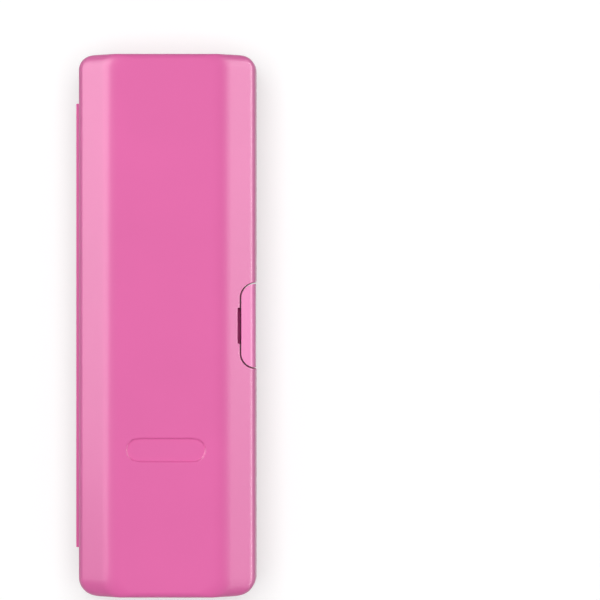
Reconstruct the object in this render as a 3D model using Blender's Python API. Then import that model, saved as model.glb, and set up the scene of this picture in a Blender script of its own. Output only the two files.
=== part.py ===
"""Travel case for an electric toothbrush and two spare heads, closed, with what it carries.

The case lies on its back: X is its width, with the spine at -X and the clasp at +X, Y is its
length and Z its depth. The origin is the middle of the back face. Lengths are in metres.
"""

import math

import bmesh
import bpy
from mathutils import Matrix, Vector

MM = 0.001

# Fits shared by all pieces
FIT = 0.3 * MM
OVERRUN = 1.0 * MM

# Case halves: the wall, the corners seen from the front, and the room left beside the contents
CASE_WALL = 1.8 * MM
LEFT_BAY = 13.5 * MM
HANDLE_HEAD_GAP = 0.6 * MM
HEAD_EDGE_GAP = 5.3 * MM
LID_ROOM = 3.2 * MM
HANDLE_END_GAP = 3.2 * MM
HANDLE_TIP_GAP = 8.7 * MM
HEAD_END_GAP = 10.5 * MM
HEAD_MIDDLE_GAP = 27.4 * MM
TOP_CORNER_RADIUS = 5.5 * MM
BOTTOM_CORNER_RADIUS = 7 * MM
CORNER_STEPS = 5

# Case sides: upright wall, tight edge, slanted facet and a soft crown up to the flat face
EDGE_RADIUS = 4.5 * MM
FACET_LENGTH = 8.5 * MM
FACET_ANGLE = math.radians(34)
CROWN_RADIUS = 14 * MM
SIDE_DRAFT = 0.3 * MM
END_EDGE_RADIUS = 2.4 * MM
INNER_EDGE_RADIUS = 0.6 * MM
EDGE_STEPS = 4

# Meeting rims: the base carries a tongue that enters a rebate in the lid
PARTING_GAP = 0.3 * MM
TONGUE_THICKNESS = 0.7 * MM
TONGUE_HEIGHT = 1.0 * MM

# Spine strip between the two hinge lines, and the lips that it folds against
SPINE_END_GAP = 18 * MM
SPINE_REACH = 3.4 * MM
SPINE_THICKNESS = 0.8 * MM
LIP_HEIGHT = 1.4 * MM

# Notch through both halves, where the clasp lies
NOTCH_LENGTH = 33 * MM
NOTCH_DEPTH = 6.1 * MM
NOTCH_RADIUS = 6.0 * MM
NAIL_SLOT_LENGTH = 13.6 * MM
NAIL_SLOT_WIDTH = 0.8 * MM
NAIL_SLOT_DEPTH = 5.0 * MM

# Clasp: a shallow tub on a bending strap
CLASP_END_GAP = 0.6 * MM
CLASP_BACK_GAP = 0.5 * MM
CLASP_WALL = 1.5 * MM
CLASP_AXIS_HEIGHT = 8.5 * MM
STRAP_LENGTH = 3.2 * MM
STRAP_WIDTH = 12.3 * MM
STRAP_THICKNESS = 0.6 * MM
LUG_HEIGHT = 1.5 * MM
LUG_REACH = 1.4 * MM
CATCH_WIDTH = 11.7 * MM
CATCH_THICKNESS = 1.6 * MM
CATCH_RISE = 2.3 * MM
CATCH_REACH = 1.3 * MM
RIDGE_THICKNESS = 1.2 * MM

# Label recess on the lid, left bare
LABEL_LENGTH = 30 * MM
LABEL_WIDTH = 8.8 * MM
LABEL_DEPTH = 0.5 * MM
LABEL_HEIGHT = 56 * MM

# Toothbrush handle: turned outline, as distance from its foot and radius
HANDLE_SIDES = 24
HANDLE_STEPS = 3
FOOT_RADIUS = 13.4 * MM
FOOT_EDGE = 4.5 * MM
LOWER_RADIUS = 14.4 * MM
LOWER_HEIGHT = 32 * MM
LOWER_LENGTH = 43 * MM
WAIST_RADIUS = 13.9 * MM
WAIST_RISE = 29 * MM
CHEST_RADIUS = 14.7 * MM
CHEST_DROP = 27 * MM
SHOULDER_RADIUS = 13.6 * MM
SHOULDER_RISE = 9 * MM
NECK_RADIUS = 3.4 * MM
COLLAR_LENGTH = 9 * MM
NECK_LENGTH = 11 * MM
GRIP_THICKNESS = 1.8 * MM
HOUSING_WALL = 1.6 * MM

# Power button, its bezel and the lamp set in it
BUTTON_WIDTH = 19.4 * MM
BUTTON_LENGTH = 33 * MM
BUTTON_BELOW_SHOULDER = 33 * MM
BUTTON_PROUD = 0.7 * MM
BUTTON_TRAVEL = 0.6 * MM
BUTTON_STEM_RADIUS = 2.0 * MM
BUTTON_STEM_SIDES = 12
BEZEL_BAND = 3.4 * MM
BEZEL_END_BAND = 5.4 * MM
BEZEL_PROUD = 0.4 * MM
BEZEL_BASE = 5 * MM
BUTTON_STEPS = 7
LAMP_LENGTH = 5 * MM
LAMP_WIDTH = 1.5 * MM
LAMP_DROP = 13.0 * MM
LAMP_DEPTH = 0.9 * MM
LAMP_STEPS = 3

# Handle foot: cap with the charger well, its seal and the coil
CAP_THICKNESS = 2.0 * MM
SPIGOT_LENGTH = 4.2 * MM
SPIGOT_WALL = 2.7 * MM
WELL_RADIUS = 2.6 * MM
WELL_DEPTH = 14 * MM
WELL_WALL = 1.3 * MM
SEAL_RADIUS = 0.6 * MM
SEAL_STEPS = 6
SEAL_SMOOTH_ANGLE = 62
COIL_BAND = 2.6 * MM
COIL_LENGTH = 8 * MM

# Chassis with battery, contacts, motor and board, from the foot up
CHASSIS_FOOT_GAP = 2.7 * MM
SHAFT_SPAN = 38 * MM
CHASSIS_WALL = 1.2 * MM
CHASSIS_RIB = 2.0 * MM
CHASSIS_SIDES = 18
WIRE_HOLE_RADIUS = 2.0 * MM
BATTERY_RADIUS = 7.2 * MM
BATTERY_LENGTH = 49 * MM
BATTERY_NUB_RADIUS = 2.6 * MM
BATTERY_NUB_LENGTH = 1.2 * MM
CONTACT_THICKNESS = 0.5 * MM
CONTACT_WIDTH = 9 * MM
MOTOR_RADIUS = 5.7 * MM
MOTOR_LENGTH = 25 * MM
MOTOR_WALL = 1.6 * MM
MOTOR_END_WALL = 1.2 * MM
BOARD_THICKNESS = 1.0 * MM
BOARD_WIDTH = 14.2 * MM
BOARD_END_GAP = 4 * MM
SWITCH_SIZE = 5 * MM
SWITCH_HEIGHT = 1.6 * MM
CHIP_SIZE = 4 * MM
CHIP_HEIGHT = 0.9 * MM
CHIP_DROPS = (8 * MM, 24 * MM)

# Drive shaft with its rotor, bush and nose
SHAFT_RADIUS = 1.8 * MM
SHAFT_REACH = 21.5 * MM
SHAFT_TIP = 0.5 * MM
SHAFT_SIDES = 14
BUSH_LENGTH = 7 * MM
BUSH_RADIUS = 4.6 * MM
NOSE_LENGTH = 10 * MM
NOSE_RADIUS = 2.9 * MM
NOSE_EDGE = 0.4 * MM

# Cradle in the base that carries the handle
CRADLE_PLATE = 0.8 * MM
CRADLE_RIB = 1.4 * MM
CRADLE_TOP = 13 * MM
CRADLE_SIDE_GAP = 2.2 * MM
CRADLE_NECK_HALF = 6.2 * MM
CRADLE_NECK_RISE = 3 * MM
CRADLE_NECK_REACH = 10 * MM
CRADLE_BEND_RISE = 2 * MM
CRADLE_LONG_RISE = 2 * MM
CRADLE_SHORT_RISE = 3 * MM
SADDLE_RISE = 15 * MM
SADDLE_DROP = 13 * MM
RING_HEIGHT = 26 * MM
RING_LENGTH = 42 * MM
RING_WIDTH = 9 * MM
RING_TOP = 8 * MM
RING_STEPS = 6

# Brush heads: turned body from its ring up, and the round cup for the disc
HEAD_LENGTH = 77 * MM
HEAD_SIDES = 16
HEAD_STEPS = 2
HEAD_FOOT_RADIUS = 6.5 * MM
HEAD_RING_LENGTH = 3.8 * MM
HEAD_BODY_RADIUS = 5.4 * MM
HEAD_BODY_HEIGHT = 22 * MM
HEAD_NECK_RADIUS = 4.2 * MM
HEAD_NECK_HEIGHT = 44 * MM
HEAD_SOCKET_RADIUS = 3.9 * MM
HEAD_SOCKET_DEPTH = 16 * MM
HEAD_BORE_RADIUS = 2.3 * MM
HEAD_BORE_DEPTH = 34 * MM
HEAD_TOP_GAP = 4.6 * MM
CUP_RADIUS = 7.8 * MM
CUP_BACK = 4.5 * MM
CUP_FRONT = 3.0 * MM
CUP_EDGE = 1.0 * MM
CUP_SIDES = 24
CUP_TOP_STEPS = 18
DISC_RADIUS = 6.4 * MM
DISC_DEPTH = 2.2 * MM
DISC_PROUD = 0.5 * MM
DISC_PIN_RADIUS = 1.2 * MM
DISC_PIN_LENGTH = 1.6 * MM
BRISTLE_FIELD_RADIUS = 5.9 * MM
BRISTLE_LENGTH = 6.6 * MM
BRISTLE_DISH = 0.7 * MM
BRISTLE_SLICE = 0.6 * MM
BRISTLE_ROWS = 5
BRISTLE_SHARE = 0.6

# Cradles in the lid that carry the heads
HEAD_RIB = 0.8 * MM
HEAD_CLEARANCE = 0.5 * MM
HEAD_RIB_RISE = 1.6 * MM
HEAD_SADDLES = (12 * MM, 50 * MM)
HEAD_SADDLE_HALF = 4.6 * MM
HEAD_BOSS_RADIUS = 3.0 * MM
HEAD_PLATE_HALF = 6.0 * MM
HEAD_PLATE_BACK = 5.0 * MM

# Places that follow from the sizes above
CHASSIS_START = WELL_DEPTH + WELL_WALL + CHASSIS_FOOT_GAP
CONTACT_START = CHASSIS_START + CHASSIS_RIB + FIT
BATTERY_START = CONTACT_START + CONTACT_THICKNESS + FIT
CONTACT_END = BATTERY_START + BATTERY_LENGTH + BATTERY_NUB_LENGTH + FIT
MIDDLE_RIB = CONTACT_END + CONTACT_THICKNESS + FIT
MOTOR_START = MIDDLE_RIB + CHASSIS_RIB + FIT
MOTOR_END = MOTOR_START + MOTOR_LENGTH
CHASSIS_END = MOTOR_END + FIT + CHASSIS_RIB + SHAFT_SPAN
BUSH_START = CHASSIS_END + FIT
SHOULDER_HEIGHT = CHASSIS_END + SHOULDER_RISE
NECK_FOOT_HEIGHT = SHOULDER_HEIGHT + COLLAR_LENGTH
NECK_HEIGHT = NECK_FOOT_HEIGHT + NECK_LENGTH
SHAFT_END = NECK_HEIGHT + SHAFT_REACH
WAIST_HEIGHT = LOWER_LENGTH + WAIST_RISE
CHEST_HEIGHT = SHOULDER_HEIGHT - CHEST_DROP
BUTTON_HEIGHT = SHOULDER_HEIGHT - BUTTON_BELOW_SHOULDER
HANDLE_ROOM = HANDLE_END_GAP + SHAFT_END + HANDLE_TIP_GAP
HEADS_ROOM = 2 * (HEAD_END_GAP + HEAD_LENGTH) + HEAD_MIDDLE_GAP
CASE_LENGTH = max(HANDLE_ROOM, HEADS_ROOM) + 2 * CASE_WALL
SIDE_ROOM = LEFT_BAY + 2 * CHEST_RADIUS + HANDLE_HEAD_GAP + 2 * CUP_RADIUS + HEAD_EDGE_GAP
CASE_WIDTH = SIDE_ROOM + 2 * CASE_WALL
PLATE_BOTTOM = CASE_WALL + FIT
PLATE_TOP = PLATE_BOTTOM + CRADLE_PLATE
HANDLE_Z = PLATE_TOP + FIT + CHEST_RADIUS
CASE_DEPTH = HANDLE_Z + CHEST_RADIUS + BUTTON_PROUD + LID_ROOM + CASE_WALL
HALF_DEPTH = (CASE_DEPTH - PARTING_GAP) / 2
HALF_WIDTH = CASE_WIDTH / 2
HALF_LENGTH = CASE_LENGTH / 2
SPINE_LENGTH = CASE_LENGTH - 2 * SPINE_END_GAP
LID_RIM = HALF_DEPTH + PARTING_GAP
SPINE_X = -(HALF_WIDTH + FIT + SPINE_THICKNESS / 2)
PARTING = HALF_DEPTH + PARTING_GAP / 2
BASE_HINGE_Z = PARTING - SPINE_REACH / 2
LID_HINGE_Z = PARTING + SPINE_REACH / 2
NOTCH_X = HALF_WIDTH - NOTCH_DEPTH
CLASP_X = NOTCH_X + CLASP_BACK_GAP
CLASP_AXIS_X = CLASP_X + STRAP_THICKNESS / 2
CLASP_FOOT = CLASP_AXIS_HEIGHT + STRAP_LENGTH
RIDGE_Z = LID_RIM + CATCH_RISE + CATCH_THICKNESS + FIT
RIDGE_TIP_X = NOTCH_X + CATCH_REACH + FIT
CLASP_INNER_X = HALF_WIDTH - SIDE_DRAFT - CLASP_WALL
TONGUE_START = BOTTOM_CORNER_RADIUS - HALF_WIDTH
LABEL_Y = LABEL_HEIGHT - HALF_LENGTH
HEAD_X = HALF_WIDTH - CASE_WALL - HEAD_EDGE_GAP - CUP_RADIUS
HEAD_Z = CASE_DEPTH - CASE_WALL - HEAD_TOP_GAP - HEAD_FOOT_RADIUS
UPPER_HEAD_Y = HEAD_MIDDLE_GAP / 2
LOWER_HEAD_Y = -HEAD_MIDDLE_GAP / 2 - HEAD_LENGTH
HANDLE_OFFSET = HEAD_X - CUP_RADIUS - HANDLE_HEAD_GAP - CHEST_RADIUS
FOOT_Y = -HALF_LENGTH + CASE_WALL + HANDLE_END_GAP
HANDLE_FOOT = Vector((HANDLE_OFFSET, FOOT_Y, HANDLE_Z))
BORE_RADIUS = WAIST_RADIUS - GRIP_THICKNESS - HOUSING_WALL
CHASSIS_RADIUS = BORE_RADIUS - FIT
SPIGOT_RADIUS = BORE_RADIUS - FIT
SEAL_CENTRE = BORE_RADIUS - FIT - SEAL_RADIUS
ROTOR_START = MOTOR_START + MOTOR_END_WALL + FIT
ROTOR_END = MOTOR_END - MOTOR_END_WALL - FIT
ROTOR_RADIUS = MOTOR_RADIUS - MOTOR_WALL - FIT
SHAFT_BORE = SHAFT_RADIUS + FIT
BOARD_START = MOTOR_START + FIT
BOARD_END = CHASSIS_END - CHASSIS_RIB - BOARD_END_GAP
BOARD_BASE = MOTOR_RADIUS + FIT
SWITCH_TOP = BOARD_BASE + BOARD_THICKNESS + SWITCH_HEIGHT
STEM_BOTTOM = SWITCH_TOP + BUTTON_TRAVEL + FIT
BEZEL_WIDTH = BUTTON_WIDTH + 2 * (BEZEL_BAND + FIT)
BEZEL_LENGTH = BUTTON_LENGTH + 2 * (BEZEL_END_BAND + FIT)
BUTTON_Y = FOOT_Y + BUTTON_HEIGHT
CUP_HEIGHT = HEAD_LENGTH - CUP_RADIUS
DISC_FRONT = -CUP_FRONT - DISC_PROUD
DISC_BACK = DISC_DEPTH - CUP_FRONT
SLICE_BACK = DISC_FRONT - FIT
BRISTLE_FOOT = SLICE_BACK - BRISTLE_SLICE
HEAD_PLATE_TOP = CASE_DEPTH - CASE_WALL - FIT
HEAD_PLATE_BOTTOM = HEAD_PLATE_TOP - CRADLE_PLATE


# Basic shapes

def material(name, colour, roughness, metallic=0.0):
    """A Principled material with one colour."""
    made = bpy.data.materials.new(name)
    made.use_nodes = True
    shader = made.node_tree.nodes["Principled BSDF"]
    shader.inputs["Base Color"].default_value = (*colour, 1.0)
    shader.inputs["Roughness"].default_value = roughness
    shader.inputs["Metallic"].default_value = metallic
    made.diffuse_color = (*colour, 1.0)
    return made


def solid(name, points, faces, look=None):
    """A mesh object from points and faces, with its faces turned outwards."""
    mesh = bpy.data.meshes.new(name)
    mesh.from_pydata([tuple(p) for p in points], [], faces)
    work = bmesh.new()
    work.from_mesh(mesh)
    bmesh.ops.recalc_face_normals(work, faces=work.faces)
    work.to_mesh(mesh)
    work.free()
    made = bpy.data.objects.new(name, mesh)
    bpy.context.scene.collection.objects.link(made)
    if look:
        mesh.materials.append(look)
    return made


def loft(name, rings, look=None):
    """A closed solid through rings of equally many points, capped at both ends."""
    count = len(rings[0])
    points = [p for ring in rings for p in ring]
    faces = []
    for level in range(len(rings) - 1):
        low, high = level * count, (level + 1) * count
        for i in range(count):
            j = (i + 1) % count
            faces.append((low + i, low + j, high + j, high + i))
    faces.append(tuple(range(count)))
    faces.append(tuple(range(len(points) - count, len(points))))
    return solid(name, points, faces, look)


def prism(name, outline, low, high, look=None):
    """A plan outline of (x, y) raised from z low to z high."""
    rings = [[Vector((x, y, z)) for x, y in outline] for z in (low, high)]
    return loft(name, rings, look)


def slice_along_y(name, outline, length, look=None):
    """A cross-section of (x, z) drawn out along Y, centred on the origin."""
    rings = [[Vector((x, y, z)) for x, z in outline] for y in (-length / 2, length / 2)]
    return loft(name, rings, look)


def block(name, low, high, look=None):
    """A box between two corners."""
    outline = [(low[0], low[1]), (high[0], low[1]), (high[0], high[1]), (low[0], high[1])]
    return prism(name, outline, low[2], high[2], look)


def turned(name, profile, centre, sides, look=None, closed=False):
    """A profile of (radius, distance) turned about a line along +Y through centre.

    An open profile starts and ends on the axis. A closed one is a loop, so it makes a ring.
    """
    points, rings = [], []
    for radius, along in profile:
        ring = []
        for i in range(sides if radius > 0 else 1):
            angle = 2 * math.pi * (i + 0.5) / sides
            offset = Vector((radius * math.cos(angle), along, radius * math.sin(angle)))
            ring.append(len(points))
            points.append(centre + offset)
        rings.append(ring)
    faces = []
    for a, b in zip(rings, rings[1:] + rings[:1] if closed else rings[1:]):
        for i in range(sides):
            j = (i + 1) % sides
            corners = [a[i % len(a)], a[j % len(a)], b[j % len(b)], b[i % len(b)]]
            faces.append(tuple(dict.fromkeys(corners)))
    return solid(name, points, faces, look)


def combine(target, other, operation):
    """Joins, cuts or trims target with other, which is used up."""
    step = target.modifiers.new(operation.lower(), "BOOLEAN")
    step.operation = operation
    step.solver = "EXACT"
    step.object = other
    bpy.context.view_layer.update()
    graph = bpy.context.evaluated_depsgraph_get()
    result = bpy.data.meshes.new_from_object(target.evaluated_get(graph))
    target.modifiers.clear()
    looks = [m for m in target.data.materials if m]
    target.data = result
    result.materials.clear()
    for look in looks[:1]:
        result.materials.append(look)
    result.polygons.foreach_set("material_index", [0] * len(result.polygons))
    bpy.data.objects.remove(other)
    return target


def join(target, *others):
    for other in others:
        combine(target, other, "UNION")
    return target


def cut(target, *others):
    for other in others:
        combine(target, other, "DIFFERENCE")
    return target


def trim(target, other):
    return combine(target, other, "INTERSECT")


def smooth(target, degrees=32):
    """Shades the round stretches smooth and keeps the edges."""
    target.data.shade_smooth()
    target.data.set_sharp_from_angle(angle=math.radians(degrees))
    return target


def place_origin(target, point):
    """Moves the object's origin to a point on its joint's axis and leaves its shape."""
    target.data.transform(Matrix.Translation(-point))
    target.location = point
    return target


def arc(centre, radius, start, stop, steps):
    """Points (x, y) on an arc, in degrees, both ends included."""
    turned_points = []
    for i in range(steps + 1):
        angle = math.radians(start + (stop - start) * i / steps)
        turned_points.append(
            (centre[0] + radius * math.cos(angle), centre[1] + radius * math.sin(angle))
        )
    return turned_points


def stadium(centre, length, width, steps, upright=True):
    """A plan outline with round ends, long along Y, or along X when not upright."""
    half = (length - width) / 2
    if upright:
        high = arc((centre[0], centre[1] + half), width / 2, 0, 180, steps)
        low = arc((centre[0], centre[1] - half), width / 2, 180, 360, steps)
    else:
        high = arc((centre[0] - half, centre[1]), width / 2, 90, 270, steps)
        low = arc((centre[0] + half, centre[1]), width / 2, 270, 450, steps)
    return high + low


def circle(centre, radius, sides):
    return arc(centre, radius, 0, 360, sides)[:-1]


# Case halves

def side_profile(depth=0.0):
    """(inset, rise) from the rim to the flat face, moved inwards by depth."""
    lean = FACET_ANGLE
    edge_rise = EDGE_RADIUS * math.cos(lean)
    facet_rise = FACET_LENGTH * math.sin(lean)
    crown_rise = CROWN_RADIUS * (1 - math.cos(lean))
    wall_rise = HALF_DEPTH - edge_rise - facet_rise - crown_rise
    upright = math.pi / 2
    walk = [(0, 0, upright), (SIDE_DRAFT, wall_rise, upright)]

    def bend(radius, start, stop):
        inset, rise, _ = walk[-1]
        for i in range(1, EDGE_STEPS + 1):
            heading = start + (stop - start) * i / EDGE_STEPS
            walk.append((
                inset + radius * (math.sin(start) - math.sin(heading)),
                rise + radius * (math.cos(heading) - math.cos(start)),
                heading,
            ))

    bend(EDGE_RADIUS, upright, lean)
    inset, rise, _ = walk[-1]
    walk.append((inset + FACET_LENGTH * math.cos(lean), rise + facet_rise, lean))
    bend(CROWN_RADIUS, lean, 0)
    return [
        (inset + depth * math.sin(heading), rise - depth * math.cos(heading))
        for inset, rise, heading in walk
    ]


def end_inset(rise, depth=0.0):
    """How far the end walls stand in at a rise above the rim: upright, then a small edge."""
    radius = max(END_EDGE_RADIUS - depth, INNER_EDGE_RADIUS)
    over = min(max(rise - (HALF_DEPTH - depth - radius), 0), radius)
    return depth + radius - math.sqrt(radius ** 2 - over ** 2)


def case_ring(inset, rise, depth, z):
    """The rounded outline of the case at one level."""
    half_x = HALF_WIDTH - inset
    half_y = HALF_LENGTH - end_inset(rise, depth)
    top = max(TOP_CORNER_RADIUS - depth, INNER_EDGE_RADIUS)
    low = max(BOTTOM_CORNER_RADIUS - depth, INNER_EDGE_RADIUS)
    outline = arc((half_x - top, half_y - top), top, 0, 90, CORNER_STEPS)
    outline += arc((top - half_x, half_y - top), top, 90, 180, CORNER_STEPS)
    outline += arc((low - half_x, low - half_y), low, 180, 270, CORNER_STEPS)
    outline += arc((half_x - low, low - half_y), low, 270, 360, CORNER_STEPS)
    return [Vector((x, y, z)) for x, y in outline]


def half_solid(name, rim, up, depth=0.0, rim_steps=(), look=None):
    """One half of the case as a full solid. up is 1 for the lid and -1 for the base.

    rim_steps are (inset, distance past the rim) rings that come before the rim itself.
    """
    rings = [case_ring(inset, 0, inset, rim - up * past) for inset, past in rim_steps]
    sides = side_profile(depth)
    for inset, rise in sides[1:] if rim_steps else sides:
        rings.append(case_ring(inset, rise, depth, rim + up * rise))
    return loft(name, rings, look)


def notch_prism(name, grow=0.0):
    """The upright notch for the clasp, larger all round by grow."""
    radius = NOTCH_RADIUS + grow
    inner, half = NOTCH_X - grow, NOTCH_LENGTH / 2 + grow
    outer = HALF_WIDTH + NOTCH_DEPTH
    outline = [(outer, -half), (outer, half)]
    outline += arc((inner + radius, half - radius), radius, 90, 180, CORNER_STEPS)
    outline += arc((inner + radius, radius - half), radius, 180, 270, CORNER_STEPS)
    return prism(name, outline, -OVERRUN, CASE_DEPTH + OVERRUN)


def cavity(name, rim, up, depth, rim_steps):
    """The room inside one half, clear of the wall round the notch."""
    room = half_solid(name, rim, up, depth, rim_steps)
    return cut(room, notch_prism("notch_wall", depth))


def spine_lip(name, hinge_z, up):
    """The ledge on a half that the spine strip bends from."""
    near = hinge_z + up * (SPINE_THICKNESS / 2 + FIT)
    far = near + up * LIP_HEIGHT
    low = (SPINE_X - SPINE_THICKNESS / 2, -SPINE_LENGTH / 2, min(near, far))
    high = (CASE_WALL / 2 - HALF_WIDTH, SPINE_LENGTH / 2, max(near, far))
    return block(name, low, high)


def build_base_shell(look):
    tongue_inset = CASE_WALL - TONGUE_THICKNESS
    steps = [(tongue_inset, TONGUE_HEIGHT), (tongue_inset, 0), (0, 0)]
    shell = half_solid("base_shell", HALF_DEPTH, -1, rim_steps=steps, look=look)
    wall_reach = CASE_WALL + OVERRUN
    beside_notch = block(
        "beside_notch",
        (NOTCH_X - wall_reach, -NOTCH_LENGTH / 2 - wall_reach, HALF_DEPTH),
        (HALF_WIDTH, NOTCH_LENGTH / 2 + wall_reach, CASE_DEPTH),
    )
    beside_hinge = block(
        "beside_hinge",
        (-HALF_WIDTH - OVERRUN, -CASE_LENGTH, HALF_DEPTH),
        (TONGUE_START, CASE_LENGTH, CASE_DEPTH),
    )
    room = cavity("base_room", HALF_DEPTH, -1, CASE_WALL, [(CASE_WALL, wall_reach)])
    cut(shell, beside_notch, beside_hinge, notch_prism("notch"), room)
    lug_top = CLASP_AXIS_HEIGHT - STRAP_THICKNESS / 2 - FIT
    lug = block(
        "lug",
        (NOTCH_X - CASE_WALL / 2, -STRAP_WIDTH / 2, lug_top - LUG_HEIGHT),
        (NOTCH_X + LUG_REACH, STRAP_WIDTH / 2, lug_top),
    )
    return smooth(join(shell, spine_lip("lip", BASE_HINGE_Z, -1), lug))


def build_lid_shell(look):
    shell = half_solid("lid_shell", LID_RIM, 1, look=look)
    rebate_inset = CASE_WALL - TONGUE_THICKNESS - FIT
    steps = [(rebate_inset, OVERRUN), (rebate_inset, -TONGUE_HEIGHT), (CASE_WALL, -TONGUE_HEIGHT)]
    room = cavity("lid_room", LID_RIM, 1, CASE_WALL, steps)
    nail_slot = block(
        "nail_slot",
        (NOTCH_X - NAIL_SLOT_WIDTH, -NAIL_SLOT_LENGTH / 2, CASE_DEPTH - 2 * NAIL_SLOT_DEPTH),
        (NOTCH_X + OVERRUN, NAIL_SLOT_LENGTH / 2, CASE_DEPTH),
    )
    label = prism(
        "label",
        stadium((0, LABEL_Y), LABEL_LENGTH, LABEL_WIDTH, BUTTON_STEPS, upright=False),
        CASE_DEPTH - LABEL_DEPTH,
        CASE_DEPTH + OVERRUN,
    )
    cut(shell, notch_prism("notch"), room, nail_slot, label)
    catch_bottom = LID_RIM + CATCH_RISE
    catch = block(
        "catch",
        (NOTCH_X - CASE_WALL / 2, -CATCH_WIDTH / 2, catch_bottom),
        (NOTCH_X + CATCH_REACH, CATCH_WIDTH / 2, catch_bottom + CATCH_THICKNESS),
    )
    return smooth(join(shell, spine_lip("lip", LID_HINGE_Z, 1), catch))


def build_spine_strip(look):
    """A flat strip whose two round edges lie on the hinge lines."""
    radius = SPINE_THICKNESS / 2
    section = arc((SPINE_X, LID_HINGE_Z), radius, 0, 180, CORNER_STEPS)
    section += arc((SPINE_X, BASE_HINGE_Z), radius, 180, 360, CORNER_STEPS)
    strip = slice_along_y("spine_strip", section, SPINE_LENGTH - 2 * FIT, look)
    return place_origin(smooth(strip), Vector((SPINE_X, 0, BASE_HINGE_Z)))


# Clasp

def clasp_section(depth):
    """The clasp's cross-section (x, z): the case's own side, moved inwards by depth."""
    open_x = CLASP_X - (OVERRUN if depth else 0)
    foot = CLASP_FOOT + depth
    side = [
        (HALF_WIDTH - inset, LID_RIM + rise)
        for inset, rise in side_profile(depth)
    ]
    section = [(open_x, foot), (side[0][0] - SIDE_DRAFT, foot)]
    for before, point in zip(side, side[1:]):
        section.append(before)
        if point[0] < open_x:
            share = (before[0] - open_x) / (before[0] - point[0])
            section.append((open_x, before[1] + share * (point[1] - before[1])))
            break
    return section


def clasp_plan(name, shrink, back):
    """The clasp's outline from the front: the notch's, less its gaps, as a tall block."""
    radius = NOTCH_RADIUS - CLASP_END_GAP - shrink
    half = NOTCH_LENGTH / 2 - CLASP_END_GAP - shrink
    outer = HALF_WIDTH + OVERRUN
    outline = [(outer, -half), (outer, half)]
    outline += arc((back + radius, half - radius), radius, 90, 180, CORNER_STEPS)
    outline += arc((back + radius, radius - half), radius, 180, 270, CORNER_STEPS)
    return prism(name, outline, 0, CASE_DEPTH + OVERRUN)


def build_clasp(look):
    """A tub open at the back, with its bending strap and the ridge inside it."""
    length = NOTCH_LENGTH - 2 * CLASP_END_GAP
    tub = slice_along_y("clasp", clasp_section(0.0), length + OVERRUN, look)
    trim(tub, clasp_plan("clasp_plan", 0.0, CLASP_X))
    hollow = slice_along_y("hollow", clasp_section(CLASP_WALL), length)
    trim(hollow, clasp_plan("hollow_plan", CLASP_WALL, CLASP_X - 2 * CLASP_WALL))
    cut(tub, hollow)
    radius = STRAP_THICKNESS / 2
    top = CLASP_FOOT + CLASP_WALL / 2
    strap = [(CLASP_AXIS_X + radius, top), (CLASP_AXIS_X - radius, top)]
    strap += arc((CLASP_AXIS_X, CLASP_AXIS_HEIGHT), radius, 180, 360, CORNER_STEPS)
    ridge = block(
        "ridge",
        (RIDGE_TIP_X, -CATCH_WIDTH / 2, RIDGE_Z),
        (CLASP_INNER_X + CLASP_WALL / 2, CATCH_WIDTH / 2, RIDGE_Z + RIDGE_THICKNESS),
    )
    join(tub, slice_along_y("strap", strap, STRAP_WIDTH), ridge)
    return place_origin(smooth(tub), Vector((CLASP_AXIS_X, 0, CLASP_AXIS_HEIGHT)))


# Toothbrush handle

def ease(start, stop, steps):
    """Points (distance, radius) from start to stop on a soft curve, without the first."""
    points = []
    for i in range(1, steps + 1):
        share = i / steps
        blend = (1 - math.cos(math.pi * share)) / 2
        along = start[0] + (stop[0] - start[0]) * share
        points.append((along, start[1] + (stop[1] - start[1]) * blend))
    return points


def handle_stations():
    """(distance from the foot, radius) all the way up the handle."""
    points = []
    for i in range(HANDLE_STEPS + 1):
        angle = math.pi / 2 * i / HANDLE_STEPS
        along = FOOT_EDGE * (1 - math.cos(angle))
        points.append((along, FOOT_RADIUS - FOOT_EDGE * (1 - math.sin(angle))))
    for station in (
        (LOWER_HEIGHT, LOWER_RADIUS),
        (WAIST_HEIGHT, WAIST_RADIUS),
        (CHEST_HEIGHT, CHEST_RADIUS),
        (SHOULDER_HEIGHT, SHOULDER_RADIUS),
        (NECK_FOOT_HEIGHT, NECK_RADIUS),
    ):
        points += ease(points[-1], station, HANDLE_STEPS)
    return points + [(NECK_HEIGHT, NECK_RADIUS)]


def handle_outline(low, high, growth=0.0):
    """The handle's profile (radius, distance) between two heights, made thicker by growth."""
    stations = handle_stations()

    def radius_at(height):
        for (a, ra), (b, rb) in zip(stations, stations[1:]):
            if a <= height <= b:
                return ra + (rb - ra) * (height - a) / (b - a)
        return stations[-1][1]

    profile = [(radius_at(low) + growth, low)]
    profile += [(r + growth, h) for h, r in stations if low < h < high]
    return profile + [(radius_at(high) + growth, high)]


def handle_form(name, growth, low, high):
    """The handle's outline as a full solid, made thicker by growth."""
    profile = [(0, low)] + handle_outline(low, high, growth) + [(0, high)]
    return turned(name, profile, HANDLE_FOOT, HANDLE_SIDES)


def button_form(name, width, length, low=0.0):
    """An upright oval column over the button, from a height above the handle's axis."""
    outline = stadium((HANDLE_OFFSET, BUTTON_Y), length, width, BUTTON_STEPS)
    return prism(name, outline, HANDLE_Z + low, HANDLE_Z + CHEST_RADIUS + CASE_WALL)


def stem_form(name, radius, low, high):
    outline = circle((HANDLE_OFFSET, BUTTON_Y), radius, BUTTON_STEM_SIDES)
    return prism(name, outline, HANDLE_Z + low, HANDLE_Z + high)


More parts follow.
